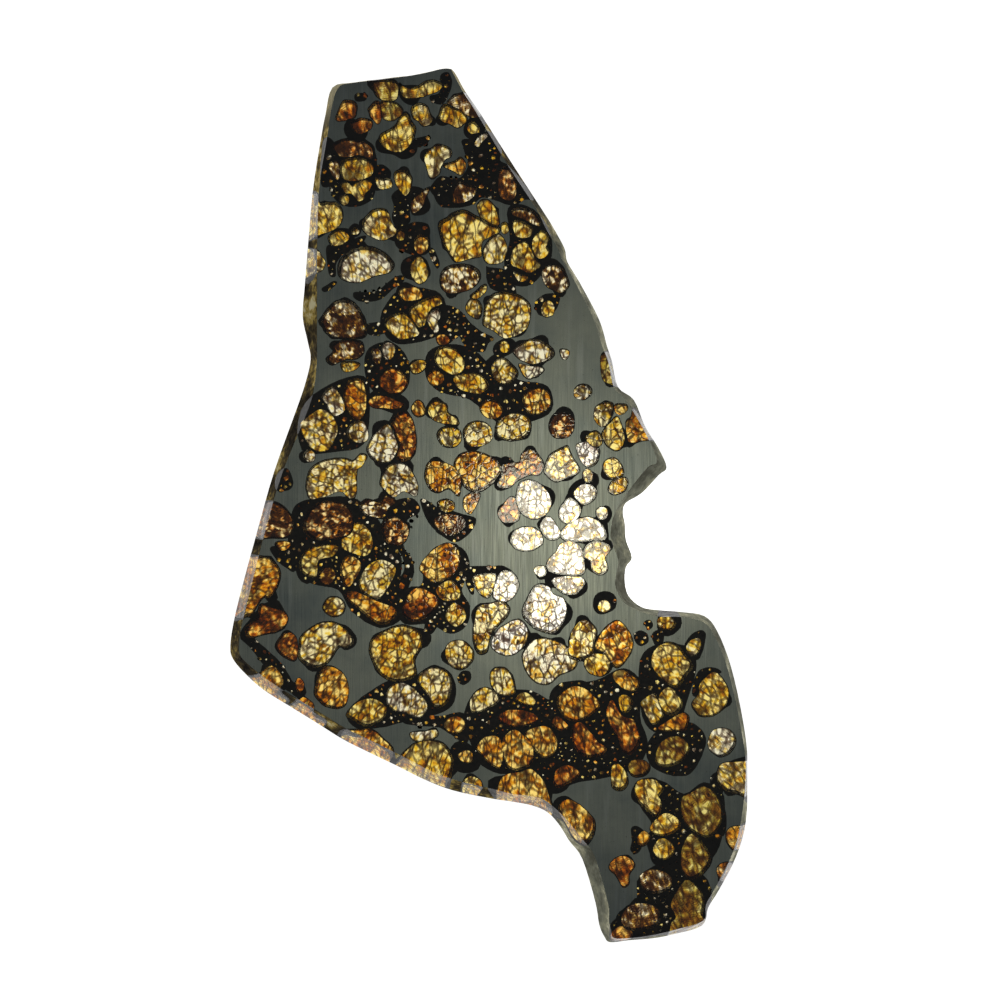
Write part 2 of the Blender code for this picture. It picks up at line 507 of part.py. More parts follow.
def boolean(obj, other, operation):
    """Cuts or joins obj with other, and keeps the result as obj's own mesh."""
    modifier = obj.modifiers.new(operation.lower(), "BOOLEAN")
    modifier.operation = operation
    modifier.solver = "MANIFOLD"  # EXACT loses the whole plate at one of the sockets
    modifier.object = other
    graph = bpy.context.evaluated_depsgraph_get()
    made = bpy.data.meshes.new_from_object(obj.evaluated_get(graph))
    obj.modifiers.clear()
    obj.data = made


def largest_body_only(obj):
    """Keeps the slice's metal and drops the few loose grains of it that neighbouring sockets cut free."""
    bm = bmesh.new()
    bm.from_mesh(obj.data)
    bm.verts.ensure_lookup_table()
    left = set(bm.verts)
    bodies = []
    while left:
        body, front = set(), [left.pop()]
        while front:
            vert = front.pop()
            body.add(vert)
            for edge in vert.link_edges:
                other = edge.other_vert(vert)
                if other in left:
                    left.remove(other)
                    front.append(other)
        bodies.append(body)
    bodies.sort(key=len, reverse=True)
    for body in bodies[1:]:
        bmesh.ops.delete(bm, geom=list(body), context="VERTS")
    bm.to_mesh(obj.data)
    bm.free()


def material(name, colour, metallic, roughness, transmission=0.0):
    made = bpy.data.materials.new(name)
    made.use_nodes = True
    shader = made.node_tree.nodes["Principled BSDF"]
    shader.inputs["Base Color"].default_value = (*colour, 1)
    shader.inputs["Metallic"].default_value = metallic
    shader.inputs["Roughness"].default_value = roughness
    shader.inputs["Transmission Weight"].default_value = transmission
    shader.inputs["IOR"].default_value = OLIVINE_IOR
    return made


def crystal_column(name, points, others, clearance, home):
    """One crystal's body, standing past both faces, reaching towards the others that it grew together with."""
    distances = []
    for point in points:
        near = any(distance_to(point, other) < NEAR for other in others)
        distances.append(clearance + (JOIN if near else 0))
    front = grown(points, distances)
    back = grown(scaled(points, TAPER), distances)
    return loft(name, back, front, -OVERSHOOT, THICKNESS + OVERSHOOT, home)


def joined_crystals(name, crystals, clearance, home):
    """The crystals of one node as one solid."""
    outlines = [thinned(counter_clockwise([place(point) for point in outline])) for _, outline in crystals]
    first = None
    for points in outlines:
        others = [other for other in outlines if other is not points]
        column = crystal_column(name, points, others, clearance, home)
        if first is None:
            first = column
            continue
        boolean(first, column, "UNION")
        bpy.data.objects.remove(column, do_unlink=True)
    return first


def plate(name, home):
    """The slice before it is filled: its ground and broken edge slopes in from the back to the front."""
    back = [place(pair[0]) for pair in RIM][::-1]
    front = [place(pair[1]) for pair in RIM][::-1]
    return loft(name, back, front, 0, THICKNESS, home)


def olivine_nodes(home, cutters):
    """Each group of crystals, trimmed to the plate."""
    trim = plate("plate_trim", cutters)
    for name, crystals in CRYSTALS.items():
        node = joined_crystals(name, crystals, 0, home)
        boolean(node, trim, "INTERSECT")
        colour = TONES[crystals[0][0]]
        node.data.materials.clear()
        node.data.materials.append(material(name + "_olivine", colour, 0, CRYSTAL_ROUGHNESS, 1))


def metal_matrix(home, cutters):
    """The metal that holds the crystals, with a socket for each group of them."""
    metal = plate("metal_matrix", home)
    for name, crystals in CRYSTALS.items():
        socket = joined_crystals(name + "_socket", crystals, GAP, cutters)
        boolean(metal, socket, "DIFFERENCE")
    largest_body_only(metal)
    metal.data.materials.clear()
    metal.data.materials.append(material("iron_nickel", METAL, 1, METAL_ROUGHNESS))


def main():
    clear_scene()
    parts = collection("pallasite_slice")
    cutters = collection("cutters", hidden=True)
    olivine_nodes(parts, cutters)
    metal_matrix(parts, cutters)
    for obj in cutters.objects:
        obj.hide_render = True
        obj.display_type = "WIRE"


main()
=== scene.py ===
# Pallasite meteorite slice: the finished look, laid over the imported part. Metres, +Z up.
# The slice lies on its back, with the camera straight above it and soft light under it, as on a light table.

import math
import random

import bmesh
import bpy
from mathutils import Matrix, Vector, noise


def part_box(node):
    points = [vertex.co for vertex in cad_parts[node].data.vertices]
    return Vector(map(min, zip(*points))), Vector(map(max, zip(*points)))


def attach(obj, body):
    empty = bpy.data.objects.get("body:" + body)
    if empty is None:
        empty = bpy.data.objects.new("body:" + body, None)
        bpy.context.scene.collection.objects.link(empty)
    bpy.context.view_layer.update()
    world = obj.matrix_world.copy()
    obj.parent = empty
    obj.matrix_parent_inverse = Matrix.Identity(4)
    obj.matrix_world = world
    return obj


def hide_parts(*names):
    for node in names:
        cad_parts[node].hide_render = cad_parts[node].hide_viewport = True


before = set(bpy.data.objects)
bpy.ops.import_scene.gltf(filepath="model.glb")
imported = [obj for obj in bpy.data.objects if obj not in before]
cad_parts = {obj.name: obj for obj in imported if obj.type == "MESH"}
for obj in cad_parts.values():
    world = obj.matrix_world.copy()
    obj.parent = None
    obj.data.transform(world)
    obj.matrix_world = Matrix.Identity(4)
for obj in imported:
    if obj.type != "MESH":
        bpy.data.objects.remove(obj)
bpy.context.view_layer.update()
bpy.ops.object.select_all(action="DESELECT")
print("frame loaded:", len(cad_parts), "nodes")

# The outlines are in the photograph's own pixels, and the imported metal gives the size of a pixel.
photo = {"top": 66, "bottom": 946, "left": 228, "right": 750, "size": 1000}
plateLow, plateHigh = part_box("metal_matrix")
pixel = (plateHigh.y - plateLow.y) / (photo["bottom"] - photo["top"])
thickness = plateHigh.z - plateLow.z
millimetre = 0.001

plate = {
    "steps": 4,  # points on each stretch of the rim
    "levels": 5,  # rings of points up the broken side
    "roughness": 0.16 * millimetre,  # how far the broken side stands in and out
    "changeSize": 0.0011,  # metres from one bulge of the broken side to the next, about
    "cutBand": 0.3 * millimetre,  # a crystal that comes nearer to the rim than this is cut by it
    "slabSide": 0.3,  # metres, of the block that cuts the other crystals off at both faces
}
crystal = {
    "steps": 4,
    "wobble": 0.09 * millimetre,  # how far the outline wanders off its smooth curve
    "changeSize": 0.0009,  # metres, of the wandering
    "backShare": (0.86, 0.97),  # size of the back outline, as a share of the front's
    "backShift": 0.16 * millimetre,  # how far the back outline is moved to one side
    "seam": 0.06 * millimetre,  # dark gap between crystals that grew together
    "overshoot": 0.5 * millimetre,  # how far a body stands past both faces before it is cut
}
rims = {
    "width": 0.10 * millimetre,  # of the dark rim round a crystal, partly iron sulphide and partly painted shade at crystal edges that pass no light
    "broad": 2.2 * millimetre,  # how fast it widens where the noise passes the rare value
    "rare": 0.16,
    "changeSize": 2.8 * millimetre,
    "layer": 4.5,  # of the noise for the rims' width
    "patchLayer": 9.5,  # of the noise for the black patches' outlines
}
fragments = {
    "tries": 12000,
    "inPatches": 0.85,  # share of the tries that fall in the larger black patches
    "radius": (0.22 * millimetre, 0.62 * millimetre),
    "shrink": (0.5, 1),  # further share of the radius
    "outward": (0.2, 0.97),  # place between the middle of a patch and a point of its outline
    "margin": 0.16 * millimetre,
    "wallGap": 0.08 * millimetre,  # more room towards a crystal
    "corners": (5, 8),
    "cornerTurn": 0.3,  # how far a corner may stand off its even place, as a share of a step
    "cornerReach": (0.65, 1.1),  # as a share of the fragment's size
    "seed": 7,
}

# Round the slice: each point of the back's outline with the point of the front's outline above it.
rimPairs = [
    ((331, 84), (338, 88)), ((352, 79), (352, 83)), ((385, 75), (386, 79)), ((420, 71), (420, 74)),
    ((440, 66), (441, 69)), ((450, 66), (450, 69)), ((455, 70), (453, 73)), ((465, 88), (462, 90)),
    ((480, 110), (476, 112)), ((515, 165), (509, 167)), ((543, 208), (537, 210)), ((553, 224), (545, 227)),
    ((565, 246), (558, 249)), ((568, 260), (563, 262)), ((580, 280), (575, 282)), ((600, 318), (594, 320)),
    ((608, 345), (602, 346)), ((613, 360), (608, 361)), ((619, 386), (614, 388)), ((635, 399), (624, 398)),
    ((646, 425), (640, 423)), ((660, 448), (652, 447)), ((668, 467), (657, 462)), ((660, 475), (648, 467)),
    ((643, 493), (633, 485)), ((627, 503), (621, 502)), ((624, 513), (614, 515)), ((626, 524), (611, 528)),
    ((627, 540), (611, 540)), ((633, 558), (617, 556)), ((627, 568), (618, 565)), ((626, 583), (615, 582)),
    ((630, 597), (618, 593)), ((643, 608), (628, 606)), ((660, 611), (655, 616)), ((684, 613), (682, 617)),
    ((706, 617), (703, 622)), ((719, 632), (714, 635)), ((733, 668), (728, 670)), ((745, 722), (740, 723)),
    ((750, 767), (746, 768)), ((748, 824), (741, 822)), ((738, 860), (731, 857)), ((721, 893), (714, 890)),
    ((710, 911), (706, 905)), ((704, 929), (703, 921)), ((675, 938), (674, 930)), ((654, 942), (653, 935)),
    ((630, 944), (631, 938)), ((611, 946), (614, 938)), ((605, 940), (611, 930)), ((600, 928), (609, 920)),
    ((596, 905), (608, 903)), ((583, 862), (595, 857)), ((570, 844), (583, 840)), ((560, 828), (571, 825)),
    ((548, 815), (557, 810)), ((532, 808), (540, 798)), ((511, 804), (513, 794)), ((491, 801), (493, 789)),
    ((453, 793), (455, 780)), ((424, 782), (429, 770)), ((396, 768), (402, 756)), ((369, 755), (376, 743)),
    ((341, 741), (347, 729)), ((314, 724), (321, 713)), ((288, 708), (296, 698)), ((261, 691), (268, 680)),
    ((241, 673), (249, 665)), ((230, 659), (240, 655)), ((228, 647), (239, 643)), ((231, 625), (242, 624)),
    ((239, 591), (250, 591)), ((255, 532), (265, 532)), ((272, 472), (282, 474)), ((296, 405), (309, 407)),
    ((304, 381), (315, 381)), ((309, 358), (317, 358)), ((306, 340), (317, 340)), ((301, 315), (317, 315)),
    ((303, 285), (317, 285)), ((305, 260), (317, 260)), ((311, 190), (319, 190)), ((319, 138), (327, 138)),
    ((324, 111), (331, 111)),
]

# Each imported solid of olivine: its crystals, each with its tone and its outline on the front.
crystalGroups = {
    "crown_crystals": [
        ("olive", [(371, 82), (380, 80), (393, 81), (398, 85), (398, 92), (395, 100), (382, 100), (375, 94)]),
        ("gold", [(399, 83), (403, 86), (410, 88), (418, 86), (424, 82), (431, 80), (438, 81), (442, 84),
                  (441, 88), (436, 92), (428, 95), (421, 97), (413, 98), (406, 98), (401, 94)]),
        ("olive", [(381, 102), (388, 101), (395, 102), (400, 106), (403, 110), (401, 115), (396, 119),
                   (391, 121), (384, 119), (381, 111)]),
        ("gold", [(405, 112), (409, 115), (410, 119), (414, 124), (416, 129), (414, 136), (412, 143),
                  (407, 149), (401, 152), (393, 152), (386, 149), (381, 144), (379, 139), (382, 133),
                  (389, 130), (395, 125), (399, 119)]),
        ("rust", [(343, 101), (349, 100), (355, 102), (357, 108), (355, 117), (349, 119), (344, 121),
                  (338, 121), (336, 117), (339, 109)]),
        ("rust", [(350, 122), (356, 120), (361, 118), (371, 120), (372, 126), (368, 131), (359, 134), (353, 130)]),
        ("rust", [(370, 106), (375, 101), (380, 103), (381, 118), (378, 124), (374, 120), (368, 111)]),
        ("straw", [(411, 109), (414, 105), (420, 103), (427, 106), (430, 113), (433, 119), (429, 125),
                   (423, 126), (418, 121), (413, 118)]),
    ],
    "upper_left_crystals": [
        ("gold", [(340, 163), (345, 159), (359, 157), (369, 161), (373, 167), (372, 174), (366, 178),
                  (354, 181), (344, 179), (340, 172)]),
        ("umber", [(329, 163), (334, 161), (339, 163), (339, 179), (334, 177), (330, 171)]),
        ("ember", [(332, 146), (338, 141), (346, 139), (354, 141), (362, 141), (369, 145), (372, 152),
                   (371, 159), (360, 155), (348, 157), (340, 156), (335, 151)]),
        ("gold", [(341, 184), (347, 182), (352, 186), (356, 182), (364, 180), (372, 183), (370, 189),
                  (365, 194), (364, 199), (358, 201), (352, 194), (345, 193)]),
        ("gold", [(339, 199), (342, 195), (347, 195), (349, 199), (347, 204), (342, 205)]),
        ("straw", [(375, 177), (382, 178), (389, 178), (392, 182), (391, 187), (381, 189), (376, 184)]),
        ("gold", [(394, 175), (397, 171), (402, 169), (408, 172), (412, 178), (411, 187), (409, 192),
                  (405, 196), (400, 190), (396, 184)]),
    ],
    "north_crystals": [
        ("straw", [(424, 158), (427, 152), (433, 147), (437, 144), (443, 145), (449, 148), (452, 153),
                   (450, 157), (445, 160), (441, 168), (439, 174), (433, 178), (429, 176), (427, 168)]),
        ("amber", [(443, 165), (455, 161), (460, 157), (464, 160), (466, 165), (464, 171), (460, 175), (453, 171)]),
    ],
    "north_rim_crystals": [
        ("gold", [(438, 117), (441, 108), (445, 104), (451, 107), (459, 110), (466, 116), (467, 121),
                  (463, 125), (457, 128), (450, 124), (443, 122)]),
        ("umber", [(447, 103), (451, 98), (457, 94), (464, 92), (470, 91), (482, 112), (476, 118), (467, 115),
                   (459, 109)]),
        ("gold", [(467, 127), (470, 122), (475, 122), (480, 129), (477, 133), (470, 133)]),
        ("pale", [(474, 143), (479, 136), (485, 133), (488, 136), (482, 142), (478, 147)]),
    ],
    "hook_crystal": [
        ("ember", [(498, 183), (500, 170), (506, 166), (512, 171), (516, 183), (516, 194), (511, 200),
                   (504, 199), (499, 193)]),
    ],
    "dim_north_crystal": [
        ("umber", [(452, 199), (455, 186), (461, 181), (470, 185), (477, 186), (475, 195), (466, 202), (456, 203)]),
    ],
    "great_north_crystals": [
        ("gold", [(439, 222), (446, 218), (452, 213), (464, 210), (475, 215), (486, 221), (499, 227),
                  (499, 232), (492, 236), (484, 240), (481, 246), (481, 256), (472, 258), (458, 262),
                  (452, 259), (443, 243), (439, 231)]),
        ("gold", [(477, 206), (479, 202), (484, 199), (490, 201), (495, 207), (499, 219), (498, 226),
                  (490, 223), (481, 217)]),
        ("straw", [(498, 234), (504, 239), (507, 248), (505, 257), (502, 262), (495, 264), (487, 263),
                   (483, 256), (484, 247), (490, 239)]),
        ("gold", [(501, 225), (505, 222), (509, 226), (508, 232), (503, 233)]),
    ],
    "north_east_crystals": [
        ("gold", [(513, 222), (520, 220), (531, 226), (534, 231), (530, 237), (521, 238), (515, 234)]),
        ("umber", [(511, 212), (514, 208), (521, 207), (532, 210), (540, 218), (541, 226), (533, 224),
                   (524, 219), (515, 216)]),
        ("gold", [(533, 239), (537, 233), (542, 230), (548, 234), (549, 241), (547, 246), (549, 252),
                  (545, 257), (538, 258), (533, 250)]),
        ("gold", [(511, 257), (514, 248), (520, 243), (526, 242), (532, 250), (536, 259), (541, 266),
                  (535, 271), (529, 273), (520, 269), (512, 265)]),
        ("straw", [(513, 271), (521, 274), (529, 275), (526, 280), (519, 281)]),
    ],
    "east_rim_crystal": [
        ("umber", [(542, 272), (547, 266), (556, 265), (563, 269), (568, 279), (569, 286), (562, 293),
                   (553, 290), (545, 284)]),
    ],
    "west_of_north_crystal": [
        ("straw", [(362, 223), (365, 217), (370, 212), (376, 209), (384, 209), (389, 214), (391, 222),
                   (396, 230), (394, 235), (387, 239), (379, 240), (367, 234), (362, 229)]),
    ],
    "west_rim_crystal": [
        ("gold", [(300, 190), (316, 192), (319, 202), (327, 202), (335, 202), (340, 206), (343, 213), (342, 221),
                  (338, 227), (331, 231), (322, 234), (300, 237)]),
    ],
    "pale_oval_crystal": [
        ("pale", [(338, 266), (340, 260), (350, 250), (358, 247), (367, 246), (376, 248), (385, 253),
                  (392, 260), (394, 267), (388, 273), (375, 276), (361, 282), (350, 282), (342, 279),
                  (338, 273)]),
    ],
    "west_rim_lower_crystal": [
        ("straw", [(296, 246), (315, 249), (321, 255), (325, 262), (323, 269), (316, 273), (296, 276)]),
    ],
    "upright_crystal": [
        ("gold", [(417, 257), (422, 258), (427, 267), (428, 275), (425, 281), (419, 284), (414, 280),
                  (410, 271), (411, 264)]),
    ],
    "black_rimmed_crystal": [
        ("umber", [(440, 278), (443, 270), (449, 266), (459, 264), (470, 265), (478, 270), (481, 277),
                   (477, 284), (468, 290), (455, 293), (446, 292), (441, 287)]),
    ],
    "west_dark_crystals": [
        ("umber", [(321, 321), (327, 309), (336, 301), (347, 300), (355, 303), (362, 313), (367, 326),
                   (365, 337), (352, 339), (335, 338), (326, 333)]),
        ("umber", [(332, 345), (340, 341), (351, 340), (362, 343), (364, 352), (357, 359), (344, 360),
                   (332, 365), (326, 359), (333, 352)]),
        ("gold", [(341, 363), (350, 361), (360, 364), (354, 370), (344, 371)]),
    ],
    "sheaf_crystals": [
        ("amber", [(398, 293), (403, 288), (415, 287), (421, 291), (423, 296), (418, 300), (404, 301)]),
        ("gold", [(409, 308), (420, 301), (432, 296), (440, 296), (442, 303), (433, 307), (428, 313),
                  (424, 325), (417, 327), (411, 319)]),
        ("pale", [(431, 312), (438, 308), (441, 315), (438, 322), (440, 330), (435, 333), (429, 325), (427, 317)]),
        ("straw", [(384, 323), (388, 317), (400, 312), (407, 315), (415, 325), (419, 334), (409, 338),
                   (399, 339), (390, 332)]),
    ],
    "mosaic_crystals": [
        ("straw", [(485, 305), (491, 296), (498, 292), (508, 292), (521, 296), (530, 305), (530, 319),
                   (526, 329), (514, 336), (504, 338), (494, 331), (483, 325), (484, 315)]),
        ("straw", [(466, 305), (471, 299), (478, 300), (482, 308), (480, 318), (474, 318), (467, 312)]),
        ("gold", [(470, 296), (476, 291), (485, 284), (487, 289), (481, 296), (474, 299)]),
    ],
    "barbell_crystal": [
        ("straw", [(541, 309), (544, 302), (550, 301), (554, 306), (553, 314), (547, 317), (542, 315)]),
    ],
    "cream_crystals": [
        ("gold", [(499, 346), (503, 341), (508, 343), (510, 348), (507, 353), (501, 352)]),
        ("pale", [(513, 350), (524, 342), (532, 339), (543, 341), (553, 349), (554, 356), (547, 361),
                  (536, 364), (528, 363), (518, 358)]),
        ("pale", [(519, 364), (528, 366), (540, 367), (544, 370), (538, 376), (529, 379), (523, 375)]),
        ("straw", [(491, 366), (497, 359), (504, 358), (513, 365), (518, 372), (516, 379), (505, 385),
                   (496, 381), (492, 373)]),
    ],
    "north_button_crystal": [
        ("pale", [(574, 391), (577, 386), (582, 384), (588, 385), (592, 390), (590, 396), (583, 400), (575, 397)]),
    ],
    "east_sliver_crystal": [
        ("olive", [(601, 358), (604, 352), (612, 352), (622, 384), (607, 383), (602, 376)]),
    ],
    "east_point_crystals": [
        ("straw", [(594, 414), (596, 407), (601, 403), (608, 402), (613, 404), (613, 413), (607, 425),
                   (600, 426), (595, 420)]),
        ("gold", [(602, 432), (610, 422), (617, 416), (621, 424), (625, 438), (622, 447), (616, 451),
                  (607, 446), (603, 439)]),
        ("amber", [(615, 405), (625, 404), (628, 408), (623, 414), (616, 413)]),
        ("gold", [(586, 436), (591, 432), (597, 431), (602, 437), (601, 445), (594, 446), (587, 441)]),
        ("white", [(576, 446), (582, 442), (590, 442), (599, 449), (599, 457), (595, 465), (588, 467),
                   (582, 463), (578, 454)]),
    ],
    "east_edge_crystal": [
        ("amber", [(626, 422), (631, 417), (636, 408), (662, 436), (642, 441), (634, 443), (628, 440)]),
    ],
    "striped_east_crystal": [
        ("straw", [(544, 470), (549, 456), (561, 448), (568, 446), (572, 456), (580, 471), (567, 478),
                   (556, 482), (548, 477)]),
    ],
    "east_twin_crystals": [
        ("gold", [(603, 466), (606, 460), (615, 458), (621, 464), (623, 475), (613, 479), (605, 474)]),
        ("gold", [(609, 486), (614, 480), (625, 477), (628, 483), (624, 491), (615, 495), (609, 492)]),
    ],
    "white_chain_crystals": [
        ("gold", [(583, 472), (588, 469), (593, 475), (591, 482), (585, 482)]),
        ("white", [(574, 495), (577, 488), (584, 484), (592, 485), (597, 491), (594, 500), (585, 505), (578, 501)]),
        ("white", [(559, 510), (564, 502), (570, 497), (579, 505), (581, 512), (576, 520), (567, 524), (560, 519)]),
    ],
    "heart_crystals": [
        ("amber", [(425, 470), (428, 463), (436, 461), (448, 464), (457, 470), (461, 480), (459, 496),
                   (449, 489), (438, 493), (430, 489), (425, 479)]),
        ("amber", [(454, 466), (459, 455), (471, 451), (483, 453), (495, 459), (502, 468), (499, 476),
                   (491, 485), (479, 492), (467, 489), (460, 478)]),
        ("rust", [(501, 466), (510, 463), (519, 462), (522, 454), (529, 449), (538, 454), (544, 466),
                  (539, 475), (530, 475), (519, 480), (508, 488), (497, 486), (501, 476)]),
        ("white", [(516, 497), (519, 484), (526, 480), (537, 482), (547, 491), (551, 502), (547, 513),
                   (537, 519), (526, 517), (518, 508)]),
        ("rust", [(498, 512), (504, 504), (510, 497), (517, 500), (520, 514), (517, 521), (507, 523), (500, 519)]),
    ],
    "bright_crystals": [
        ("white", [(540, 527), (543, 519), (550, 517), (557, 526), (561, 534), (555, 540), (545, 537)]),
        ("white", [(560, 536), (564, 528), (576, 520), (589, 517), (601, 523), (606, 532), (605, 540),
                   (592, 541), (577, 542), (566, 541)]),
        ("white", [(547, 562), (556, 552), (561, 544), (572, 541), (581, 548), (584, 560), (584, 573),
                   (571, 576), (553, 573), (547, 569)]),
        ("straw", [(584, 548), (593, 541), (606, 543), (611, 549), (605, 558), (608, 569), (601, 575),
                   (592, 571), (590, 561), (583, 556)]),
        ("white", [(552, 580), (560, 577), (580, 577), (585, 583), (578, 593), (567, 595), (556, 588)]),
    ],
    "left_white_crystal": [
        ("white", [(511, 537), (515, 530), (525, 527), (535, 528), (542, 536), (542, 544), (530, 551),
                   (518, 550), (511, 544)]),
    ],
    "central_crystals": [
        ("white", [(522, 614), (526, 600), (533, 588), (540, 584), (549, 587), (553, 594), (563, 598),
                   (567, 608), (564, 621), (555, 633), (543, 632), (530, 625)]),
        ("white", [(491, 646), (496, 632), (506, 624), (519, 619), (528, 629), (526, 643), (515, 654),
                   (503, 655)]),
        ("straw", [(473, 640), (474, 620), (479, 606), (490, 603), (502, 601), (510, 608), (507, 617),
                   (496, 628), (490, 640), (487, 652), (478, 654)]),
        ("straw", [(472, 580), (476, 575), (488, 573), (496, 575), (493, 590), (488, 598), (480, 594)]),
        ("white", [(496, 580), (503, 570), (513, 573), (519, 583), (515, 595), (505, 602), (493, 597)]),
    ],
    "south_crown_crystals": [
        ("straw", [(569, 645), (571, 633), (580, 621), (589, 621), (597, 631), (594, 644), (592, 655),
                   (578, 661), (568, 656)]),
        ("amber", [(603, 630), (611, 623), (619, 621), (628, 630), (633, 643), (629, 656), (618, 668),
                   (610, 662), (604, 653), (594, 647)]),
        ("gold", [(585, 658), (593, 653), (608, 656), (610, 666), (603, 676), (591, 674), (585, 667)]),
        ("pale", [(522, 657), (529, 644), (538, 638), (555, 640), (569, 648), (578, 658), (574, 669),
                  (560, 675), (549, 684), (537, 683), (527, 673)]),
    ],
    "east_gold_crystals": [
        ("gold", [(651, 659), (657, 647), (667, 642), (678, 645), (687, 656), (694, 666), (685, 679),
                  (678, 688), (667, 684), (655, 672)]),
        ("straw", [(686, 648), (690, 641), (699, 638), (701, 647), (695, 656), (688, 655)]),
        ("gold", [(658, 701), (663, 690), (671, 688), (680, 697), (683, 706), (674, 716), (664, 713)]),
        ("straw", [(641, 702), (653, 693), (659, 699), (664, 716), (653, 725), (645, 712)]),
        ("amber", [(659, 727), (668, 721), (682, 713), (689, 717), (686, 730), (673, 731), (661, 731)]),
    ],
    "black_capped_crystal": [
        ("gold", [(692, 703), (699, 693), (699, 686), (706, 677), (715, 672), (725, 682), (729, 694),
                  (725, 707), (713, 716), (700, 716), (694, 710)]),
    ],
    "east_button_crystal": [
        ("pale", [(708, 741), (713, 731), (722, 728), (731, 731), (736, 741), (731, 752), (720, 757), (710, 750)]),
    ],
    "south_east_rim_crystal": [
        ("straw", [(720, 765), (735, 762), (756, 765), (756, 800), (740, 795), (726, 791), (717, 781)]),
    ],
    "south_east_crystals": [
        ("gold", [(634, 788), (640, 780), (655, 780), (664, 789), (659, 797), (662, 804), (658, 819),
                  (646, 811), (637, 800)]),
        ("olive", [(681, 799), (690, 793), (704, 786), (715, 793), (722, 808), (720, 826), (708, 838),
                   (692, 831), (682, 818)]),
        ("gold", [(650, 828), (658, 818), (667, 813), (679, 820), (680, 829), (666, 836), (655, 834)]),
        ("gold", [(653, 850), (659, 839), (668, 840), (675, 850), (668, 859), (658, 858)]),
        ("olive", [(681, 862), (683, 845), (693, 832), (705, 845), (712, 859), (704, 873), (692, 880), (683, 872)]),
    ],
    "south_west_of_foot_crystal": [
        ("rust", [(609, 868), (613, 860), (624, 856), (635, 864), (629, 875), (629, 884), (623, 887), (616, 876)]),
    ],
    "foot_crystals": [
        ("olive", [(680, 887), (688, 880), (699, 888), (705, 902), (703, 917), (710, 926), (690, 944),
                   (670, 944), (671, 925), (676, 917), (671, 904)]),
    ],
    "left_shoulder_crystals": [
        ("amber", [(343, 398), (346, 384), (352, 378), (362, 379), (366, 393), (365, 412), (357, 421),
                   (347, 411)]),
        ("pale", [(321, 397), (326, 390), (333, 386), (340, 394), (345, 410), (333, 416), (326, 404)]),
        ("straw", [(300, 426), (306, 418), (320, 409), (332, 415), (338, 430), (330, 448), (320, 452),
                   (309, 446)]),
        ("pale", [(347, 430), (352, 423), (362, 420), (368, 433), (366, 441), (357, 443), (348, 438)]),
    ],
    "left_centre_crystals": [
        ("pale", [(367, 449), (371, 439), (379, 429), (388, 424), (394, 436), (398, 447), (391, 461), (379, 463),
                  (370, 457)]),
        ("rust", [(391, 421), (402, 411), (411, 417), (416, 435), (415, 453), (406, 462), (396, 459), (399, 446),
                  (395, 434)]),
        ("pale", [(380, 482), (384, 470), (394, 463), (407, 465), (417, 482), (416, 496), (404, 491),
                  (393, 497), (383, 488)]),
        ("umber", [(359, 508), (366, 499), (380, 502), (386, 494), (396, 501), (388, 508), (383, 518), (368, 516)]),
    ],
    "half_moon_crystal": [
        ("straw", [(306, 482), (311, 468), (325, 460), (344, 458), (353, 461), (360, 454), (367, 456),
                   (362, 466), (357, 471), (356, 494), (350, 498), (340, 491), (326, 496), (311, 499),
                   (307, 492)]),
    ],
    "west_edge_crystal": [
        ("ember", [(260, 505), (276, 502), (289, 512), (294, 524), (288, 537), (272, 538), (252, 536)]),
    ],
    "dark_heart_crystals": [
        ("ember", [(302, 522), (309, 509), (322, 501), (343, 503), (353, 516), (352, 532), (338, 540),
                   (316, 540), (304, 533)]),
        ("gold", [(341, 543), (345, 529), (358, 522), (369, 529), (373, 545), (365, 556), (346, 550)]),
        ("gold", [(299, 562), (306, 550), (322, 545), (338, 546), (333, 556), (318, 560), (316, 577), (302, 573)]),
        ("amber", [(340, 566), (349, 555), (361, 563), (356, 577), (346, 588)]),
    ],
    "dark_heart_south_crystals": [
        ("straw", [(359, 581), (367, 566), (382, 560), (396, 569), (387, 590), (376, 600), (362, 592)]),
        ("amber", [(344, 596), (354, 591), (376, 601), (397, 610), (390, 623), (377, 624), (358, 609)]),
    ],
    "black_ringed_crystal": [
        ("straw", [(323, 606), (328, 598), (338, 597), (345, 604), (343, 613), (334, 617), (325, 612)]),
    ],
    "west_low_crystals": [
        ("amber", [(234, 560), (257, 556), (270, 558), (280, 570), (279, 583), (271, 597), (263, 598),
                   (252, 614), (246, 617), (226, 618)]),
        ("rust", [(260, 604), (270, 607), (284, 611), (288, 621), (277, 632), (266, 634), (247, 638), (245, 627),
                  (256, 619)]),
    ],
    "two_lobed_crystals": [
        ("straw", [(299, 645), (301, 636), (312, 627), (323, 622), (337, 623), (349, 632), (354, 642),
                   (347, 648), (339, 647), (328, 663), (313, 668), (299, 659)]),
        ("rust", [(275, 647), (281, 636), (289, 632), (297, 640), (296, 660), (284, 657)]),
        ("amber", [(315, 686), (321, 668), (334, 667), (346, 678), (348, 698), (341, 708), (325, 706), (315, 696)]),
    ],
    "south_west_rim_crystal": [
        ("amber", [(240, 682), (257, 675), (272, 665), (284, 680), (280, 692), (288, 702), (270, 712)]),
    ],
    "south_rim_flame_crystal": [
        ("amber", [(285, 712), (292, 704), (303, 697), (314, 705), (313, 713), (326, 722), (312, 734)]),
    ],
    "south_fan_crystals": [
        ("gold", [(346, 714), (358, 702), (374, 699), (387, 709), (382, 720), (366, 727), (352, 720)]),
        ("amber", [(358, 729), (372, 729), (382, 737), (394, 752), (382, 774), (336, 752), (340, 732)]),
    ],
    "south_gold_crystals": [
        ("gold", [(398, 760), (409, 747), (424, 740), (443, 743), (454, 760), (450, 782), (440, 800),
                  (392, 778)]),
        ("pale", [(410, 733), (422, 732), (436, 730), (437, 737), (424, 742), (413, 740)]),
    ],
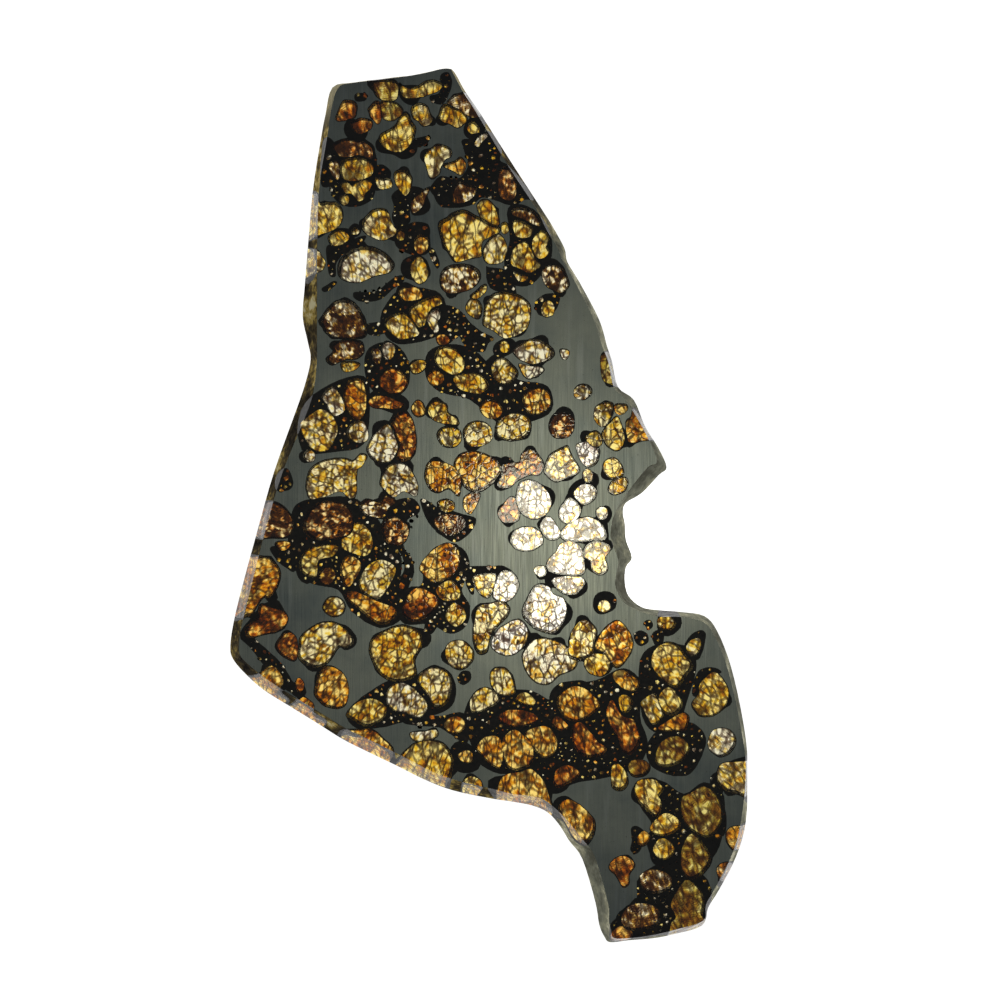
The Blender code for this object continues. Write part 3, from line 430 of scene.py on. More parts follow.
    "left_mosaic_crystals": [
        ("gold", [(369, 650), (374, 637), (392, 627), (405, 625), (420, 632), (423, 645), (415, 660),
                  (416, 676), (402, 682), (388, 680), (376, 669)]),
        ("pale", [(388, 688), (402, 682), (418, 692), (428, 706), (420, 718), (406, 713), (394, 711),
                  (386, 702)]),
        ("straw", [(418, 682), (421, 672), (434, 667), (449, 672), (452, 688), (447, 704), (436, 708), (427, 694)]),
    ],
    "middle_dark_crystals": [
        ("rust", [(402, 612), (409, 593), (421, 588), (439, 600), (428, 617), (412, 622)]),
        ("gold", [(436, 592), (440, 585), (452, 580), (461, 592), (458, 600), (444, 601)]),
        ("gold", [(445, 614), (453, 602), (463, 608), (466, 618), (457, 627), (448, 622)]),
    ],
    "flame_crystal": [
        ("amber", [(420, 566), (431, 552), (447, 543), (460, 552), (457, 571), (447, 579), (434, 583), (423, 574)]),
    ],
    "middle_straw_crystal": [
        ("straw", [(445, 653), (450, 642), (463, 641), (473, 650), (472, 662), (461, 670), (450, 665)]),
    ],
    "south_middle_crystals": [
        ("straw", [(491, 672), (498, 667), (509, 671), (516, 690), (512, 695), (499, 694), (491, 685)]),
        ("straw", [(470, 708), (472, 697), (482, 688), (493, 690), (500, 700), (488, 709), (474, 713)]),
        ("gold", [(515, 698), (524, 692), (535, 700), (532, 706), (520, 703)]),
    ],
    "south_orange_crystals": [
        ("amber", [(476, 747), (484, 737), (498, 737), (503, 752), (500, 768), (490, 764), (482, 756)]),
        ("amber", [(502, 742), (513, 730), (523, 735), (533, 747), (532, 764), (516, 771), (506, 764)]),
        ("amber", [(524, 734), (536, 727), (548, 727), (557, 740), (555, 753), (544, 758), (534, 750)]),
    ],
    "south_rim_amber_crystals": [
        ("amber", [(520, 772), (531, 769), (542, 779), (548, 793), (552, 822), (520, 822), (496, 816),
                   (498, 784), (508, 774)]),
    ],
}

# Crystals too small or too many for a solid of their own, by the piece that they are joined in.
looseGroups = {
    "north_small_crystals": [
        ("umber", [(411, 207), (412, 200), (420, 192), (430, 187), (427, 195), (424, 204), (418, 211), (413, 213)]),
        ("gold", [(328, 239), (330, 234), (336, 231), (343, 231), (349, 235), (348, 240), (341, 245), (332, 246)]),
        ("amber", [(414, 240), (420, 234), (428, 238), (428, 248), (420, 254), (414, 248)]),
        ("straw", [(351, 231), (355, 227), (359, 230), (357, 234), (352, 234)]),
        ("olive", [(396, 234), (400, 228), (405, 232), (404, 239), (399, 240)]),
        ("pale", [(382, 346), (386, 342), (393, 344), (395, 350), (392, 358), (386, 360), (382, 354)]),
        ("umber", [(371, 353), (376, 347), (381, 353), (380, 362), (375, 364)]),
        ("gold", [(434, 360), (436, 350), (444, 346), (456, 350), (464, 360), (463, 370), (454, 375), (442, 370)]),
        ("gold", [(453, 378), (460, 374), (474, 373), (484, 377), (489, 386), (482, 394), (468, 392), (458, 388)]),
        ("amber", [(427, 376), (434, 370), (443, 374), (442, 383), (432, 385)]),
        ("rust", [(379, 386), (382, 374), (392, 368), (402, 372), (408, 382), (402, 392), (390, 394)]),
        ("gold", [(410, 366), (418, 360), (426, 362), (424, 370), (414, 374)]),
        ("rust", [(436, 338), (442, 334), (450, 338), (448, 344), (440, 345)]),
        ("pale", [(560, 350), (565, 349), (569, 352), (567, 359), (562, 358)]),
    ],
    "centre_small_crystals": [
        ("rust", [(368, 402), (374, 396), (386, 396), (396, 400), (404, 404), (398, 409), (384, 408), (374, 408)]),
        ("amber", [(412, 406), (418, 400), (424, 405), (425, 414), (418, 417), (412, 412)]),
        ("gold", [(428, 410), (434, 401), (446, 404), (448, 412), (456, 418), (459, 424), (450, 424), (438, 422),
                  (431, 417)]),
        ("straw", [(437, 436), (441, 428), (452, 427), (460, 431), (461, 440), (454, 447), (443, 446)]),
        ("straw", [(463, 434), (468, 424), (480, 421), (490, 427), (492, 438), (484, 445), (470, 446)]),
        ("straw", [(495, 430), (500, 419), (514, 413), (528, 417), (531, 428), (524, 438), (512, 441), (500, 438)]),
        ("amber", [(480, 406), (488, 399), (498, 402), (503, 411), (497, 418), (488, 418), (482, 413)]),
        ("amber", [(522, 398), (530, 390), (542, 388), (550, 395), (550, 407), (540, 414), (528, 414), (524, 406)]),
        ("ember", [(549, 424), (553, 415), (563, 412), (573, 416), (574, 428), (568, 437), (556, 438), (550, 432)]),
        ("ember", [(434, 520), (446, 514), (460, 516), (466, 524), (458, 534), (448, 536), (438, 530)]),
        ("gold", [(437, 503), (446, 499), (454, 503), (453, 510), (443, 512)]),
        ("amber", [(464, 498), (472, 492), (480, 494), (476, 506), (470, 514), (464, 508)]),
        ("pale", [(596, 511), (600, 507), (606, 508), (608, 514), (605, 519), (599, 519)]),
        ("pale", [(534, 571), (538, 566), (545, 567), (546, 574), (540, 577)]),
        ("ember", [(381, 530), (384, 520), (394, 516), (405, 522), (409, 532), (404, 543), (394, 546), (386, 542)]),
        ("straw", [(598, 606), (602, 600), (608, 601), (611, 607), (606, 612), (600, 611)]),
    ],
    "west_small_crystals": [
        ("pale", [(303, 454), (309, 449), (315, 454), (313, 461), (306, 461)]),
        ("umber", [(318, 575), (324, 567), (333, 569), (335, 577), (328, 585), (320, 583)]),
        ("rust", [(295, 684), (299, 678), (304, 684), (302, 692), (297, 691)]),
        ("amber", [(275, 544), (281, 541), (290, 543), (286, 550), (278, 550)]),
    ],
    "south_small_crystals": [
        ("rust", [(572, 727), (580, 722), (590, 732), (598, 742), (606, 748), (604, 755), (592, 758), (580, 755),
                  (573, 745)]),
        ("rust", [(612, 700), (622, 716), (634, 720), (638, 730), (640, 742), (632, 755), (622, 752), (618, 738),
                  (610, 726), (606, 712)]),
        ("rust", [(553, 780), (556, 770), (566, 765), (575, 768), (580, 775), (570, 783), (560, 788), (554, 786)]),
        ("amber", [(558, 806), (566, 799), (577, 803), (588, 812), (595, 822), (594, 834), (586, 846), (575, 842),
                   (566, 826), (560, 815)]),
        ("gold", [(612, 768), (618, 764), (626, 772), (628, 784), (620, 791), (612, 786)]),
        ("olive", [(628, 768), (632, 761), (642, 760), (650, 766), (646, 775), (634, 777)]),
        ("olive", [(655, 758), (660, 744), (670, 737), (682, 738), (690, 748), (684, 760), (670, 767), (658, 766)]),
        ("amber", [(556, 702), (562, 692), (572, 686), (584, 688), (594, 696), (600, 706), (590, 716), (576, 722),
                   (564, 718)]),
        ("rust", [(551, 724), (556, 716), (564, 721), (568, 727), (560, 731)]),
        ("amber", [(613, 674), (622, 670), (632, 675), (640, 682), (636, 691), (626, 690), (616, 682)]),
        ("gold", [(619, 698), (626, 695), (633, 701), (630, 711), (622, 712)]),
        ("umber", [(640, 876), (650, 870), (664, 872), (672, 880), (668, 890), (654, 894), (642, 888)]),
        ("umber", [(622, 915), (632, 905), (648, 904), (660, 912), (658, 925), (640, 931), (624, 928)]),
        ("amber", [(726, 832), (736, 826), (752, 828), (750, 846), (738, 852), (728, 844)]),
        ("amber", [(444, 724), (452, 717), (462, 718), (466, 726), (458, 734), (448, 732)]),
        ("rust", [(497, 718), (505, 711), (518, 710), (532, 713), (538, 720), (524, 726), (508, 726)]),
        ("gold", [(463, 782), (470, 776), (480, 780), (482, 789), (474, 800), (462, 798)]),
        ("amber", [(458, 756), (466, 750), (473, 754), (472, 762), (463, 762)]),
        ("straw", [(658, 619), (669, 616), (676, 624), (671, 630), (660, 628)]),
        ("amber", [(637, 838), (644, 831), (650, 836), (647, 844), (640, 846)]),
        ("ember", [(717, 868), (726, 862), (736, 866), (728, 884), (720, 880)]),
        ("rust", [(612, 932), (622, 926), (632, 930), (630, 942), (612, 944)]),
    ],
}

# Dark iron sulphide that stands apart from the crystals' own rims.
darkPatches = [
    [(440, 76), (448, 72), (452, 80), (450, 92), (443, 104), (432, 102), (430, 96), (440, 92)],
    [(355, 94), (365, 93), (366, 100), (356, 101)],
    [(404, 150), (412, 140), (428, 136), (427, 144), (416, 148), (408, 153)],
    [(365, 142), (374, 150), (377, 160), (375, 170), (368, 166), (366, 152)],
    [(373, 174), (376, 166), (384, 165), (391, 172), (389, 180), (378, 180)],
    [(462, 140), (476, 138), (492, 130), (502, 148), (500, 160), (508, 165), (520, 176), (530, 190), (534, 199),
     (524, 200), (516, 205), (505, 204), (494, 200), (482, 198), (470, 206), (450, 208), (440, 206), (434, 196),
     (430, 188), (440, 176), (452, 178), (462, 176), (468, 164), (464, 150)],
    [(391, 196), (400, 188), (412, 186), (424, 190), (420, 200), (410, 210), (410, 222), (398, 230), (392, 218),
     (394, 206)],
    [(394, 234), (402, 228), (414, 222), (428, 224), (430, 236), (430, 250), (420, 256), (404, 252), (396, 246)],
    [(428, 250), (434, 249), (440, 264), (436, 268)],
    [(486, 268), (490, 267), (511, 272), (516, 290), (513, 294), (490, 288)],
    [(353, 294), (356, 292), (376, 291), (392, 279), (402, 275), (404, 281), (392, 290), (380, 300), (362, 302),
     (354, 298)],
    [(322, 288), (334, 281), (337, 284), (326, 292)],
    [(326, 248), (332, 244), (345, 246), (356, 238), (366, 236), (362, 244), (350, 248), (340, 258), (336, 266),
     (336, 276), (330, 276), (327, 262)],
    [(362, 326), (376, 322), (386, 324), (386, 332), (376, 336), (368, 334)],
    [(535, 302), (545, 294), (558, 294), (560, 300), (556, 310), (548, 316), (538, 314)],
    [(442, 306), (452, 306), (462, 312), (470, 322), (480, 330), (494, 338), (488, 344), (484, 352), (470, 350),
     (462, 342), (458, 336), (448, 344), (436, 336), (444, 326), (440, 316)],
    [(322, 140), (330, 138), (336, 146), (334, 160), (332, 176), (330, 186), (322, 186), (320, 170)],
    [(278, 472), (286, 468), (292, 476), (293, 486), (286, 491), (276, 490), (274, 480)],
    [(270, 548), (282, 546), (296, 552), (298, 564), (294, 572), (286, 568), (276, 560)],
    [(396, 500), (412, 498), (420, 506), (418, 514), (408, 520), (404, 534), (404, 548), (412, 558), (414, 572),
     (410, 584), (404, 596), (394, 600), (396, 584), (404, 570), (402, 556), (392, 544), (384, 530), (386, 512)],
    [(420, 500), (430, 502), (438, 508), (446, 508), (462, 514), (476, 518), (472, 530), (462, 540), (452, 542),
     (440, 534), (428, 522)],
    [(244, 630), (256, 640), (268, 650), (282, 664), (292, 680), (300, 690), (290, 692), (280, 684), (266, 668),
     (252, 650), (243, 640)],
    [(428, 604), (436, 602), (444, 610), (440, 622), (432, 634), (424, 632), (426, 618)],
    [(464, 570), (470, 566), (490, 566), (504, 566), (512, 572), (498, 577), (476, 578), (474, 594), (468, 590)],
    [(676, 728), (690, 722), (702, 730), (706, 742), (700, 760), (690, 774), (674, 776), (660, 772), (650, 764),
     (646, 750), (652, 736), (662, 730)],
    [(634, 634), (640, 630), (647, 634), (648, 642), (641, 646), (635, 642)],
    [(652, 634), (658, 630), (664, 636), (662, 644), (655, 645)],
    [(644, 622), (650, 620), (653, 626), (648, 630)],
    [(684, 646), (690, 636), (700, 630), (706, 634), (704, 646), (700, 658), (692, 660), (684, 656)],
    [(694, 680), (700, 670), (712, 667), (722, 672), (714, 676), (704, 684), (698, 696), (692, 694)],
    [(631, 828), (638, 826), (644, 832), (640, 840), (642, 848), (636, 854), (630, 850), (632, 840)],
    [(712, 775), (720, 772), (724, 784), (722, 800), (726, 812), (726, 830), (722, 836), (720, 820), (716, 800),
     (710, 786)],
    [(663, 868), (672, 862), (680, 864), (684, 880), (680, 894), (674, 902), (668, 912), (662, 902), (668, 890)],
    [(610, 925), (616, 918), (624, 908), (636, 902), (652, 902), (662, 912), (670, 920), (668, 932), (652, 936),
     (624, 936), (612, 934)],
    [(566, 752), (574, 758), (590, 762), (606, 758), (620, 762), (628, 756), (640, 758), (640, 768), (628, 764),
     (612, 770), (602, 778), (584, 780), (572, 776), (562, 764)],
    [(400, 706), (420, 712), (440, 716), (460, 712), (472, 720), (470, 736), (466, 744), (458, 740), (440, 728),
     (420, 726), (402, 722)],
    [(484, 712), (500, 704), (516, 704), (530, 706), (542, 712), (544, 722), (534, 728), (520, 730), (500, 732),
     (488, 734), (480, 724)],
    [(457, 678), (462, 671), (470, 672), (471, 679), (465, 685), (459, 683)],
    # the black between crystals that stand close together, partly painted shade where their edges pass no light
    [(292, 512), (306, 500), (350, 497), (372, 512), (392, 540), (402, 562), (398, 596), (402, 618), (380, 628),
     (352, 612), (338, 590), (312, 584), (296, 572), (288, 548)],
    [(424, 560), (440, 545), (462, 548), (470, 566), (462, 590), (470, 606), (466, 626), (450, 634), (430, 624),
     (404, 624), (398, 606), (408, 588), (422, 584)],
    [(372, 690), (390, 680), (412, 680), (426, 668), (444, 668), (456, 684), (452, 706), (432, 716), (404, 722),
     (380, 728), (356, 728), (346, 714), (358, 700)],
    [(468, 702), (480, 688), (500, 690), (530, 690), (552, 700), (566, 684), (596, 680), (624, 668), (642, 684),
     (640, 716), (648, 746), (634, 768), (604, 778), (572, 784), (552, 794), (530, 772), (500, 774), (478, 762),
     (470, 742), (462, 724)],
    [(328, 150), (345, 138), (366, 142), (376, 156), (376, 190), (366, 204), (344, 206), (330, 190)],
    [(508, 208), (528, 206), (545, 222), (552, 240), (550, 262), (532, 284), (512, 284), (504, 262), (510, 240)],
    [(380, 318), (398, 290), (424, 288), (444, 298), (444, 330), (420, 342), (392, 342)],
    [(366, 352), (384, 342), (404, 352), (410, 372), (404, 392), (378, 394), (366, 378)],
    [(428, 352), (450, 344), (474, 350), (494, 368), (520, 380), (548, 386), (552, 410), (530, 422), (500, 424),
     (470, 400), (440, 392), (426, 376)],
    [(634, 786), (660, 780), (684, 794), (704, 782), (724, 796), (722, 838), (708, 864), (684, 882), (656, 864),
     (646, 840), (652, 826), (640, 806)],
    [(640, 876), (680, 866), (708, 880), (712, 920), (700, 934), (660, 938), (622, 940), (616, 916), (636, 900)],
    [(300, 410), (330, 384), (364, 376), (370, 404), (364, 444), (334, 452), (302, 450)],
    [(640, 660), (660, 644), (690, 648), (696, 672), (684, 712), (690, 730), (660, 734), (642, 716)],
]


def place(point):
    """x and y in metres of a point of the photograph."""
    x = (point[0] - (photo["left"] + photo["right"]) / 2) * pixel
    y = ((photo["top"] + photo["bottom"]) / 2 - point[1]) * pixel
    return Vector((x, y))


def counterClockwise(points):
    area = sum(a.x * b.y - b.x * a.y for a, b in zip(points, points[1:] + points[:1]))
    return points if area > 0 else points[::-1]


def smoothClosed(points, steps):
    # a curve through the points, as a closed outline
    count = len(points)
    smooth = []
    for i in range(count):
        before, start, end, after = (points[(i + k) % count] for k in (-1, 0, 1, 2))
        for step in range(steps):
            t = step / steps
            bend = 2 * before - 5 * start + 4 * end - after
            twist = 3 * start - before - 3 * end + after
            smooth.append(0.5 * (2 * start + (end - before) * t + bend * t * t + twist * t ** 3))
    return smooth


def outwards(points):
    # the outward direction at each point
    directions = []
    for i, point in enumerate(points):
        along = points[(i + 1) % len(points)] - points[i - 1]
        directions.append(Vector((along.y, -along.x)).normalized())
    return directions


def moved(points, distanceAt):
    return [point + way * distanceAt(point) for point, way in zip(points, outwards(points))]


def noiseAt(point, size, layer):
    return noise.noise(Vector((point[0] / size, point[1] / size, layer)))


def middle(points):
    return sum(points, Vector((0, 0))) / len(points)


def inside(point, outline):
    within = False
    for a, b in zip(outline, outline[1:] + outline[:1]):
        if (a.y > point.y) != (b.y > point.y):
            if point.x < (b.x - a.x) * (point.y - a.y) / (b.y - a.y) + a.x:
                within = not within
    return within


def gapTo(point, outline):
    return min((point - corner).length for corner in outline)


def meets(first, second, distance):
    # whether one crystal comes nearer to another than that
    if (first["middle"] - second["middle"]).length > first["reach"] + second["reach"] + distance:
        return False
    return any(inside(p, second["front"]) or gapTo(p, second["front"]) < distance for p in first["front"])


def loft(name, rings, heights, sideSlot=0, materials=()):
    # a closed solid through outlines of as many points, from the lowest to the highest
    bm = bmesh.new()
    made = [[bm.verts.new((point.x, point.y, z)) for point in ring] for ring, z in zip(rings, heights)]
    caps = [bm.faces.new(made[0][::-1]), bm.faces.new(made[-1])]
    count = len(made[0])
    for lower, upper in zip(made, made[1:]):
        for i in range(count):
            j = (i + 1) % count
            side = bm.faces.new((lower[i], lower[j], upper[j], upper[i]))
            side.material_index = sideSlot
    bmesh.ops.triangulate(bm, faces=caps)
    mesh = bpy.data.meshes.new(name)
    bm.to_mesh(mesh)
    bm.free()
    for material in materials:
        mesh.materials.append(material)
    obj = bpy.data.objects.new(name, mesh)
    bpy.context.scene.collection.objects.link(obj)
    return obj


def boolean(obj, other, operation, keep=False):
    modifier = obj.modifiers.new("cut", "BOOLEAN")
    modifier.operation = operation
    modifier.solver = "MANIFOLD"
    modifier.object = other
    bpy.context.view_layer.objects.active = obj
    bpy.ops.object.modifier_apply(modifier=modifier.name)
    if not keep:
        bpy.data.objects.remove(other, do_unlink=True)


def joined(objects, name):
    bpy.ops.object.select_all(action="DESELECT")
    for obj in objects:
        obj.select_set(True)
    bpy.context.view_layer.objects.active = objects[0]
    if len(objects) > 1:
        bpy.ops.object.join()
    objects[0].name = name
    objects[0].select_set(False)
    return objects[0]


def unionOf(objects):
    # joined two by two, so that no step handles the whole more than once
    while len(objects) > 1:
        for first, second in zip(objects[::2], objects[1::2]):
            boolean(first, second, "UNION")
        objects = objects[::2]
    return objects[0]


class Socket:
    # an output of a shader node; arithmetic on it adds Math nodes

    def __init__(self, finish, output):
        self.finish = finish
        self.output = output

    def __add__(self, other):
        return self.finish.math("ADD", self, other)

    def __sub__(self, other):
        return self.finish.math("SUBTRACT", self, other)

    def __mul__(self, other):
        return self.finish.math("MULTIPLY", self, other)

    def __rsub__(self, other):
        return self.finish.math("SUBTRACT", other, self)

    __radd__ = __add__
    __rmul__ = __mul__


class Finish:
    # a material under construction

    def __init__(self, name):
        self.material = bpy.data.materials.new(name)
        self.material.use_nodes = True
        self.tree = self.material.node_tree
        self.shader = self.tree.nodes["Principled BSDF"]

    def link(self, value, socket):
        if isinstance(value, Socket):
            self.tree.links.new(value.output, socket)
        else:
            socket.default_value = value

    def node(self, kind, settings=None, inputs=None, output=0):
        made = self.tree.nodes.new(kind)
        for key, value in (settings or {}).items():
            if key == "stops":
                ramp = made.color_ramp
                while len(ramp.elements) < len(value):
                    ramp.elements.new(0.5)
                for element, (position, colour) in zip(ramp.elements, value):
                    element.position = position
                    element.color = (*colour, 1)
            else:
                setattr(made, key, value)
        for key, value in (inputs or {}).items():
            self.link(value, made.inputs[key])
        return Socket(self, made.outputs[output])

    def math(self, operation, first, second):
        return self.node("ShaderNodeMath", {"operation": operation}, {0: first, 1: second})

    def ramp(self, value, stops):
        return self.node("ShaderNodeValToRGB", {"stops": stops}, {0: value})

    def between(self, value, low, high):
        # 0 below low, 1 above high, smooth from one to the other
        return self.node("ShaderNodeMapRange", {"interpolation_type": "SMOOTHSTEP"},
                         {"Value": value, "From Min": low, "From Max": high})

    def mix(self, share, first, second):
        mixed = self.tree.nodes.new("ShaderNodeMix")
        mixed.data_type = "RGBA"
        self.link(share, mixed.inputs[0])
        self.link(first if isinstance(first, Socket) else (*first, 1), mixed.inputs[6])
        self.link(second if isinstance(second, Socket) else (*second, 1), mixed.inputs[7])
        return Socket(self, mixed.outputs[2])

    def place(self, scale=(1, 1, 1), turn=0):
        where = self.node("ShaderNodeTexCoord", output=3)
        return self.node("ShaderNodeMapping", None,
                         {"Vector": where, "Rotation": (0, 0, turn), "Scale": scale})

    def noise(self, where, scale, detail=3, roughness=0.55):
        return self.node("ShaderNodeTexNoise", None,
                         {"Vector": where, "Scale": scale, "Detail": detail, "Roughness": roughness})

    def bent(self, where, scale, amount):
        # the place moved a little by a noise, so that what reads it is bent
        push = self.node("ShaderNodeTexNoise", None, {"Vector": where, "Scale": scale, "Detail": 2}, output=1)
        push = self.node("ShaderNodeVectorMath", {"operation": "MULTIPLY_ADD"},
                         {0: push, 1: (amount,) * 3, 2: (-amount / 2,) * 3})
        return self.node("ShaderNodeVectorMath", {"operation": "ADD"}, {0: where, 1: push})

    def cells(self, feature, where, scale, output=0):
        return self.node("ShaderNodeTexVoronoi", {"feature": feature}, {"Vector": where, "Scale": scale}, output)

    def axis(self, output):
        return self.node("ShaderNodeSeparateXYZ", None, {0: self.place()}, output)

    def bump(self, strength, distance, height):
        return self.node("ShaderNodeBump", None, {"Strength": strength, "Distance": distance, "Height": height})

    def set(self, **values):
        for key, value in values.items():
            self.link(value, self.shader.inputs[key.replace("_", " ")])


# Sizes of noises and cells are in repeats to the metre.
olivine = {
    "ior": 1.66,
    "roughness": 0.04,
    "bend": (900, 0.0005),  # the noise that bends the cells, and how far in metres
    "coarseCells": 900,
    "fineCells": 2300,
    "cloud": 420,
    "black": (0.012, 0.005, 0.003),
    "crackWidth": 0.14,  # as a share of a cell
    "longCells": 620,  # of the long cracks that run on through a crystal
    "longScale": (1, 0.32, 0),
    "longTurn": 0.6,
    "longBend": (500, 0.0009),
    "fineCrack": (0.72, (0.20, 0.065, 0.006)),  # how strong, and its colour
    "crack": (0.92, (0.035, 0.010, 0.002)),
    "longCrack": (0.85, (0.02, 0.007, 0.002)),
    "relief": 2200,
    "absorption": (1.0, 0.90, 0.62),
    "density": 60.0,
}
sulphideLook = {
    "mottle": 900,
    "colours": [(0.35, (0.006, 0.0055, 0.005)), (0.62, (0.020, 0.015, 0.011)), (0.75, (0.055, 0.030, 0.014))],
    "grain": 2600,
    "relief": 3200,
}
metalLook = {
    "mottle": 110,
    "colours": [(0.32, (0.215, 0.245, 0.240)), (0.50, (0.285, 0.308, 0.280)), (0.68, (0.350, 0.372, 0.325))],
    "scratches": 5200,
    "streaks": 900,
    "streakColour": (0.52, 0.55, 0.54),
    "pits": 4200,
    "pitColour": (0.02, 0.018, 0.015),
}
crustLook = {
    "bend": (300, 0.003),
    "patch": 210,
    "grain": 1500,
    # left: near-black and brown, then gold and cream painted as glow of light through cut crystals; right:
    # olive-grey, with a painted highlight at its palest stop
    "left": [(0.40, (0.012, 0.009, 0.007)), (0.49, (0.060, 0.046, 0.026)), (0.55, (0.16, 0.115, 0.045)),
             (0.61, (0.62, 0.44, 0.11)), (0.67, (0.95, 0.84, 0.50))],
    "right": [(0.42, (0.17, 0.165, 0.12)), (0.52, (0.32, 0.32, 0.24)), (0.60, (0.52, 0.50, 0.34)),
              (0.67, (0.95, 0.90, 0.66))],
    "rightFrom": (0.004, 0.014),  # metres along x where the left's colours pass into the right's
    "topFrom": (0.055, 0.063),  # the same along y, for the top
    "topColour": (0.62, 0.55, 0.34),
}
# Each tone's colours from its clear cells to its deep ones, and the shades at which they and black come.
tones = {
    # This tone is pale olivine painted near-white: a painted highlight that stands in for the glare of the light
    # behind the middle of the slice.
    "white": {"clear": (1.0, 0.99, 0.90), "body": (1.0, 0.90, 0.46), "deep": (0.92, 0.52, 0.04),
              "steps": (0.53, 0.64, 0.76, 0.92), "slot": "olivine_bright"},
    "pale": {"clear": (0.90, 0.86, 0.64), "body": (0.84, 0.68, 0.20), "deep": (0.62, 0.30, 0.02),
             "steps": (0.49, 0.61, 0.80, 0.96), "slot": "olivine_pale"},
    "straw": {"clear": (0.96, 0.86, 0.46), "body": (0.83, 0.58, 0.05), "deep": (0.50, 0.20, 0.008),
              "steps": (0.46, 0.58, 0.79, 0.95), "slot": "olivine_straw"},
    "gold": {"clear": (0.94, 0.78, 0.26), "body": (0.78, 0.48, 0.020), "deep": (0.44, 0.14, 0.004),
             "steps": (0.43, 0.56, 0.78, 0.92), "slot": "olivine_gold"},
    "amber": {"clear": (1.0, 0.74, 0.20), "body": (0.76, 0.33, 0.010), "deep": (0.34, 0.075, 0.002),
              "steps": (0.39, 0.53, 0.72, 0.86), "slot": "olivine_amber"},
    "rust": {"clear": (0.98, 0.60, 0.12), "body": (0.60, 0.17, 0.006), "deep": (0.15, 0.022, 0.001),
             "steps": (0.34, 0.46, 0.60, 0.74), "slot": "olivine_rust"},
    "olive": {"clear": (0.74, 0.64, 0.22), "body": (0.44, 0.33, 0.035), "deep": (0.20, 0.08, 0.006),
              "steps": (0.32, 0.44, 0.64, 0.82), "slot": "olivine_olive"},
    "umber": {"clear": (1.0, 0.92, 0.62), "body": (0.80, 0.48, 0.05), "deep": (0.07, 0.026, 0.005),
              "steps": (0.36, 0.44, 0.50, 0.56), "slot": "olivine_umber"},
    "ember": {"clear": (1.0, 0.78, 0.34), "body": (0.62, 0.20, 0.010), "deep": (0.06, 0.014, 0.003),
              "steps": (0.34, 0.42, 0.49, 0.55), "slot": "olivine_ember"},
}


def olivineFinish(tone):
    look = tones[tone]
    made = Finish("olivine_" + tone)
    flat = made.place((1, 1, 0))  # the same on both faces, so that a crack runs right through
    bent = made.bent(flat, *olivine["bend"])
    coarse = made.cells("F1", bent, olivine["coarseCells"], output=1)
    fine = made.cells("F1", bent, olivine["fineCells"], output=1)
    cloud = made.between(made.noise(flat, olivine["cloud"], 3, 0.6), 0.36, 0.64)
    shade = made.node("ShaderNodeSeparateColor", None, {0: fine}) * 0.34
    shade = shade + made.node("ShaderNodeSeparateColor", None, {0: coarse}) * 0.33 + cloud * 0.33
    colours = (look["clear"], look["body"], look["deep"], olivine["black"])
    colour = made.ramp(shade, list(zip(look["steps"], colours)))

    def edges(where, scale, low, high):
        # 1 along the border between cells
        width = olivine["crackWidth"]
        return 1 - made.between(made.cells("DISTANCE_TO_EDGE", where, scale), width * low, width * high)

    cracks = edges(bent, olivine["coarseCells"], 0.3, 1) * made.between(made.noise(flat, 700, 2), 0.34, 0.5)
    fineCracks = edges(bent, olivine["fineCells"], 0.3, 1) * made.between(made.noise(flat, 600, 2), 0.46, 0.58)
    longPlace = made.bent(made.place(olivine["longScale"], olivine["longTurn"]), *olivine["longBend"])
    longCracks = edges(longPlace, olivine["longCells"], 0.1, 0.5)
    for amount, kind in ((fineCracks, "fineCrack"), (cracks, "crack"), (longCracks, "longCrack")):
        strength, crackColour = olivine[kind]
        colour = made.mix(amount * strength, colour, crackColour)
    bump = made.bump(0.08, 0.00005, made.noise(flat, olivine["relief"], 2) + cracks * -0.6)
    made.set(Base_Color=colour, Roughness=olivine["roughness"], IOR=olivine["ior"],
             Transmission_Weight=1.0, Normal=bump)
    volume = made.node("ShaderNodeVolumeAbsorption", None,
                       {"Color": (*olivine["absorption"], 1), "Density": olivine["density"]})
    made.tree.links.new(volume.output, made.tree.nodes["Material Output"].inputs["Volume"])
    return made.material


def sulphideFinish(name):
    made = Finish(name)
    where = made.place()
    colour = made.ramp(made.noise(where, sulphideLook["mottle"], 4, 0.6), sulphideLook["colours"])
    rough = 0.26 + made.noise(where, sulphideLook["grain"], 3) * 0.35
    bump = made.bump(0.3, 0.00005, made.noise(where, sulphideLook["relief"], 3))
    made.set(Base_Color=colour, Roughness=rough, Normal=bump, Metallic=0.0)
    return made.material


def metalFinish():
    made = Finish("polished_iron_nickel")
    where = made.place()
    mottle = made.noise(where, metalLook["mottle"], 5, 0.6)
    colour = made.ramp(mottle, metalLook["colours"])
    scratches = made.noise(made.place((1, 0.035, 1), 0.35), metalLook["scratches"], 2, 0.5)
    streaks = made.noise(made.place((1, 0.06, 1), 0.12), metalLook["streaks"], 3, 0.55)
    pits = made.between(made.noise(where, metalLook["pits"], 2), 0.70, 0.76)
    colour = made.mix(pits * 0.75, colour, metalLook["pitColour"])
    colour = made.mix(made.between(streaks, 0.52, 0.74) * 0.28, colour, metalLook["streakColour"])
    rough = 0.15 + scratches * 0.14 + mottle * 0.08
    bump = made.bump(0.14, 0.00002, scratches + mottle * 0.4)
    made.set(Base_Color=colour, Roughness=rough, Metallic=1.0, Normal=bump)
    return made.material


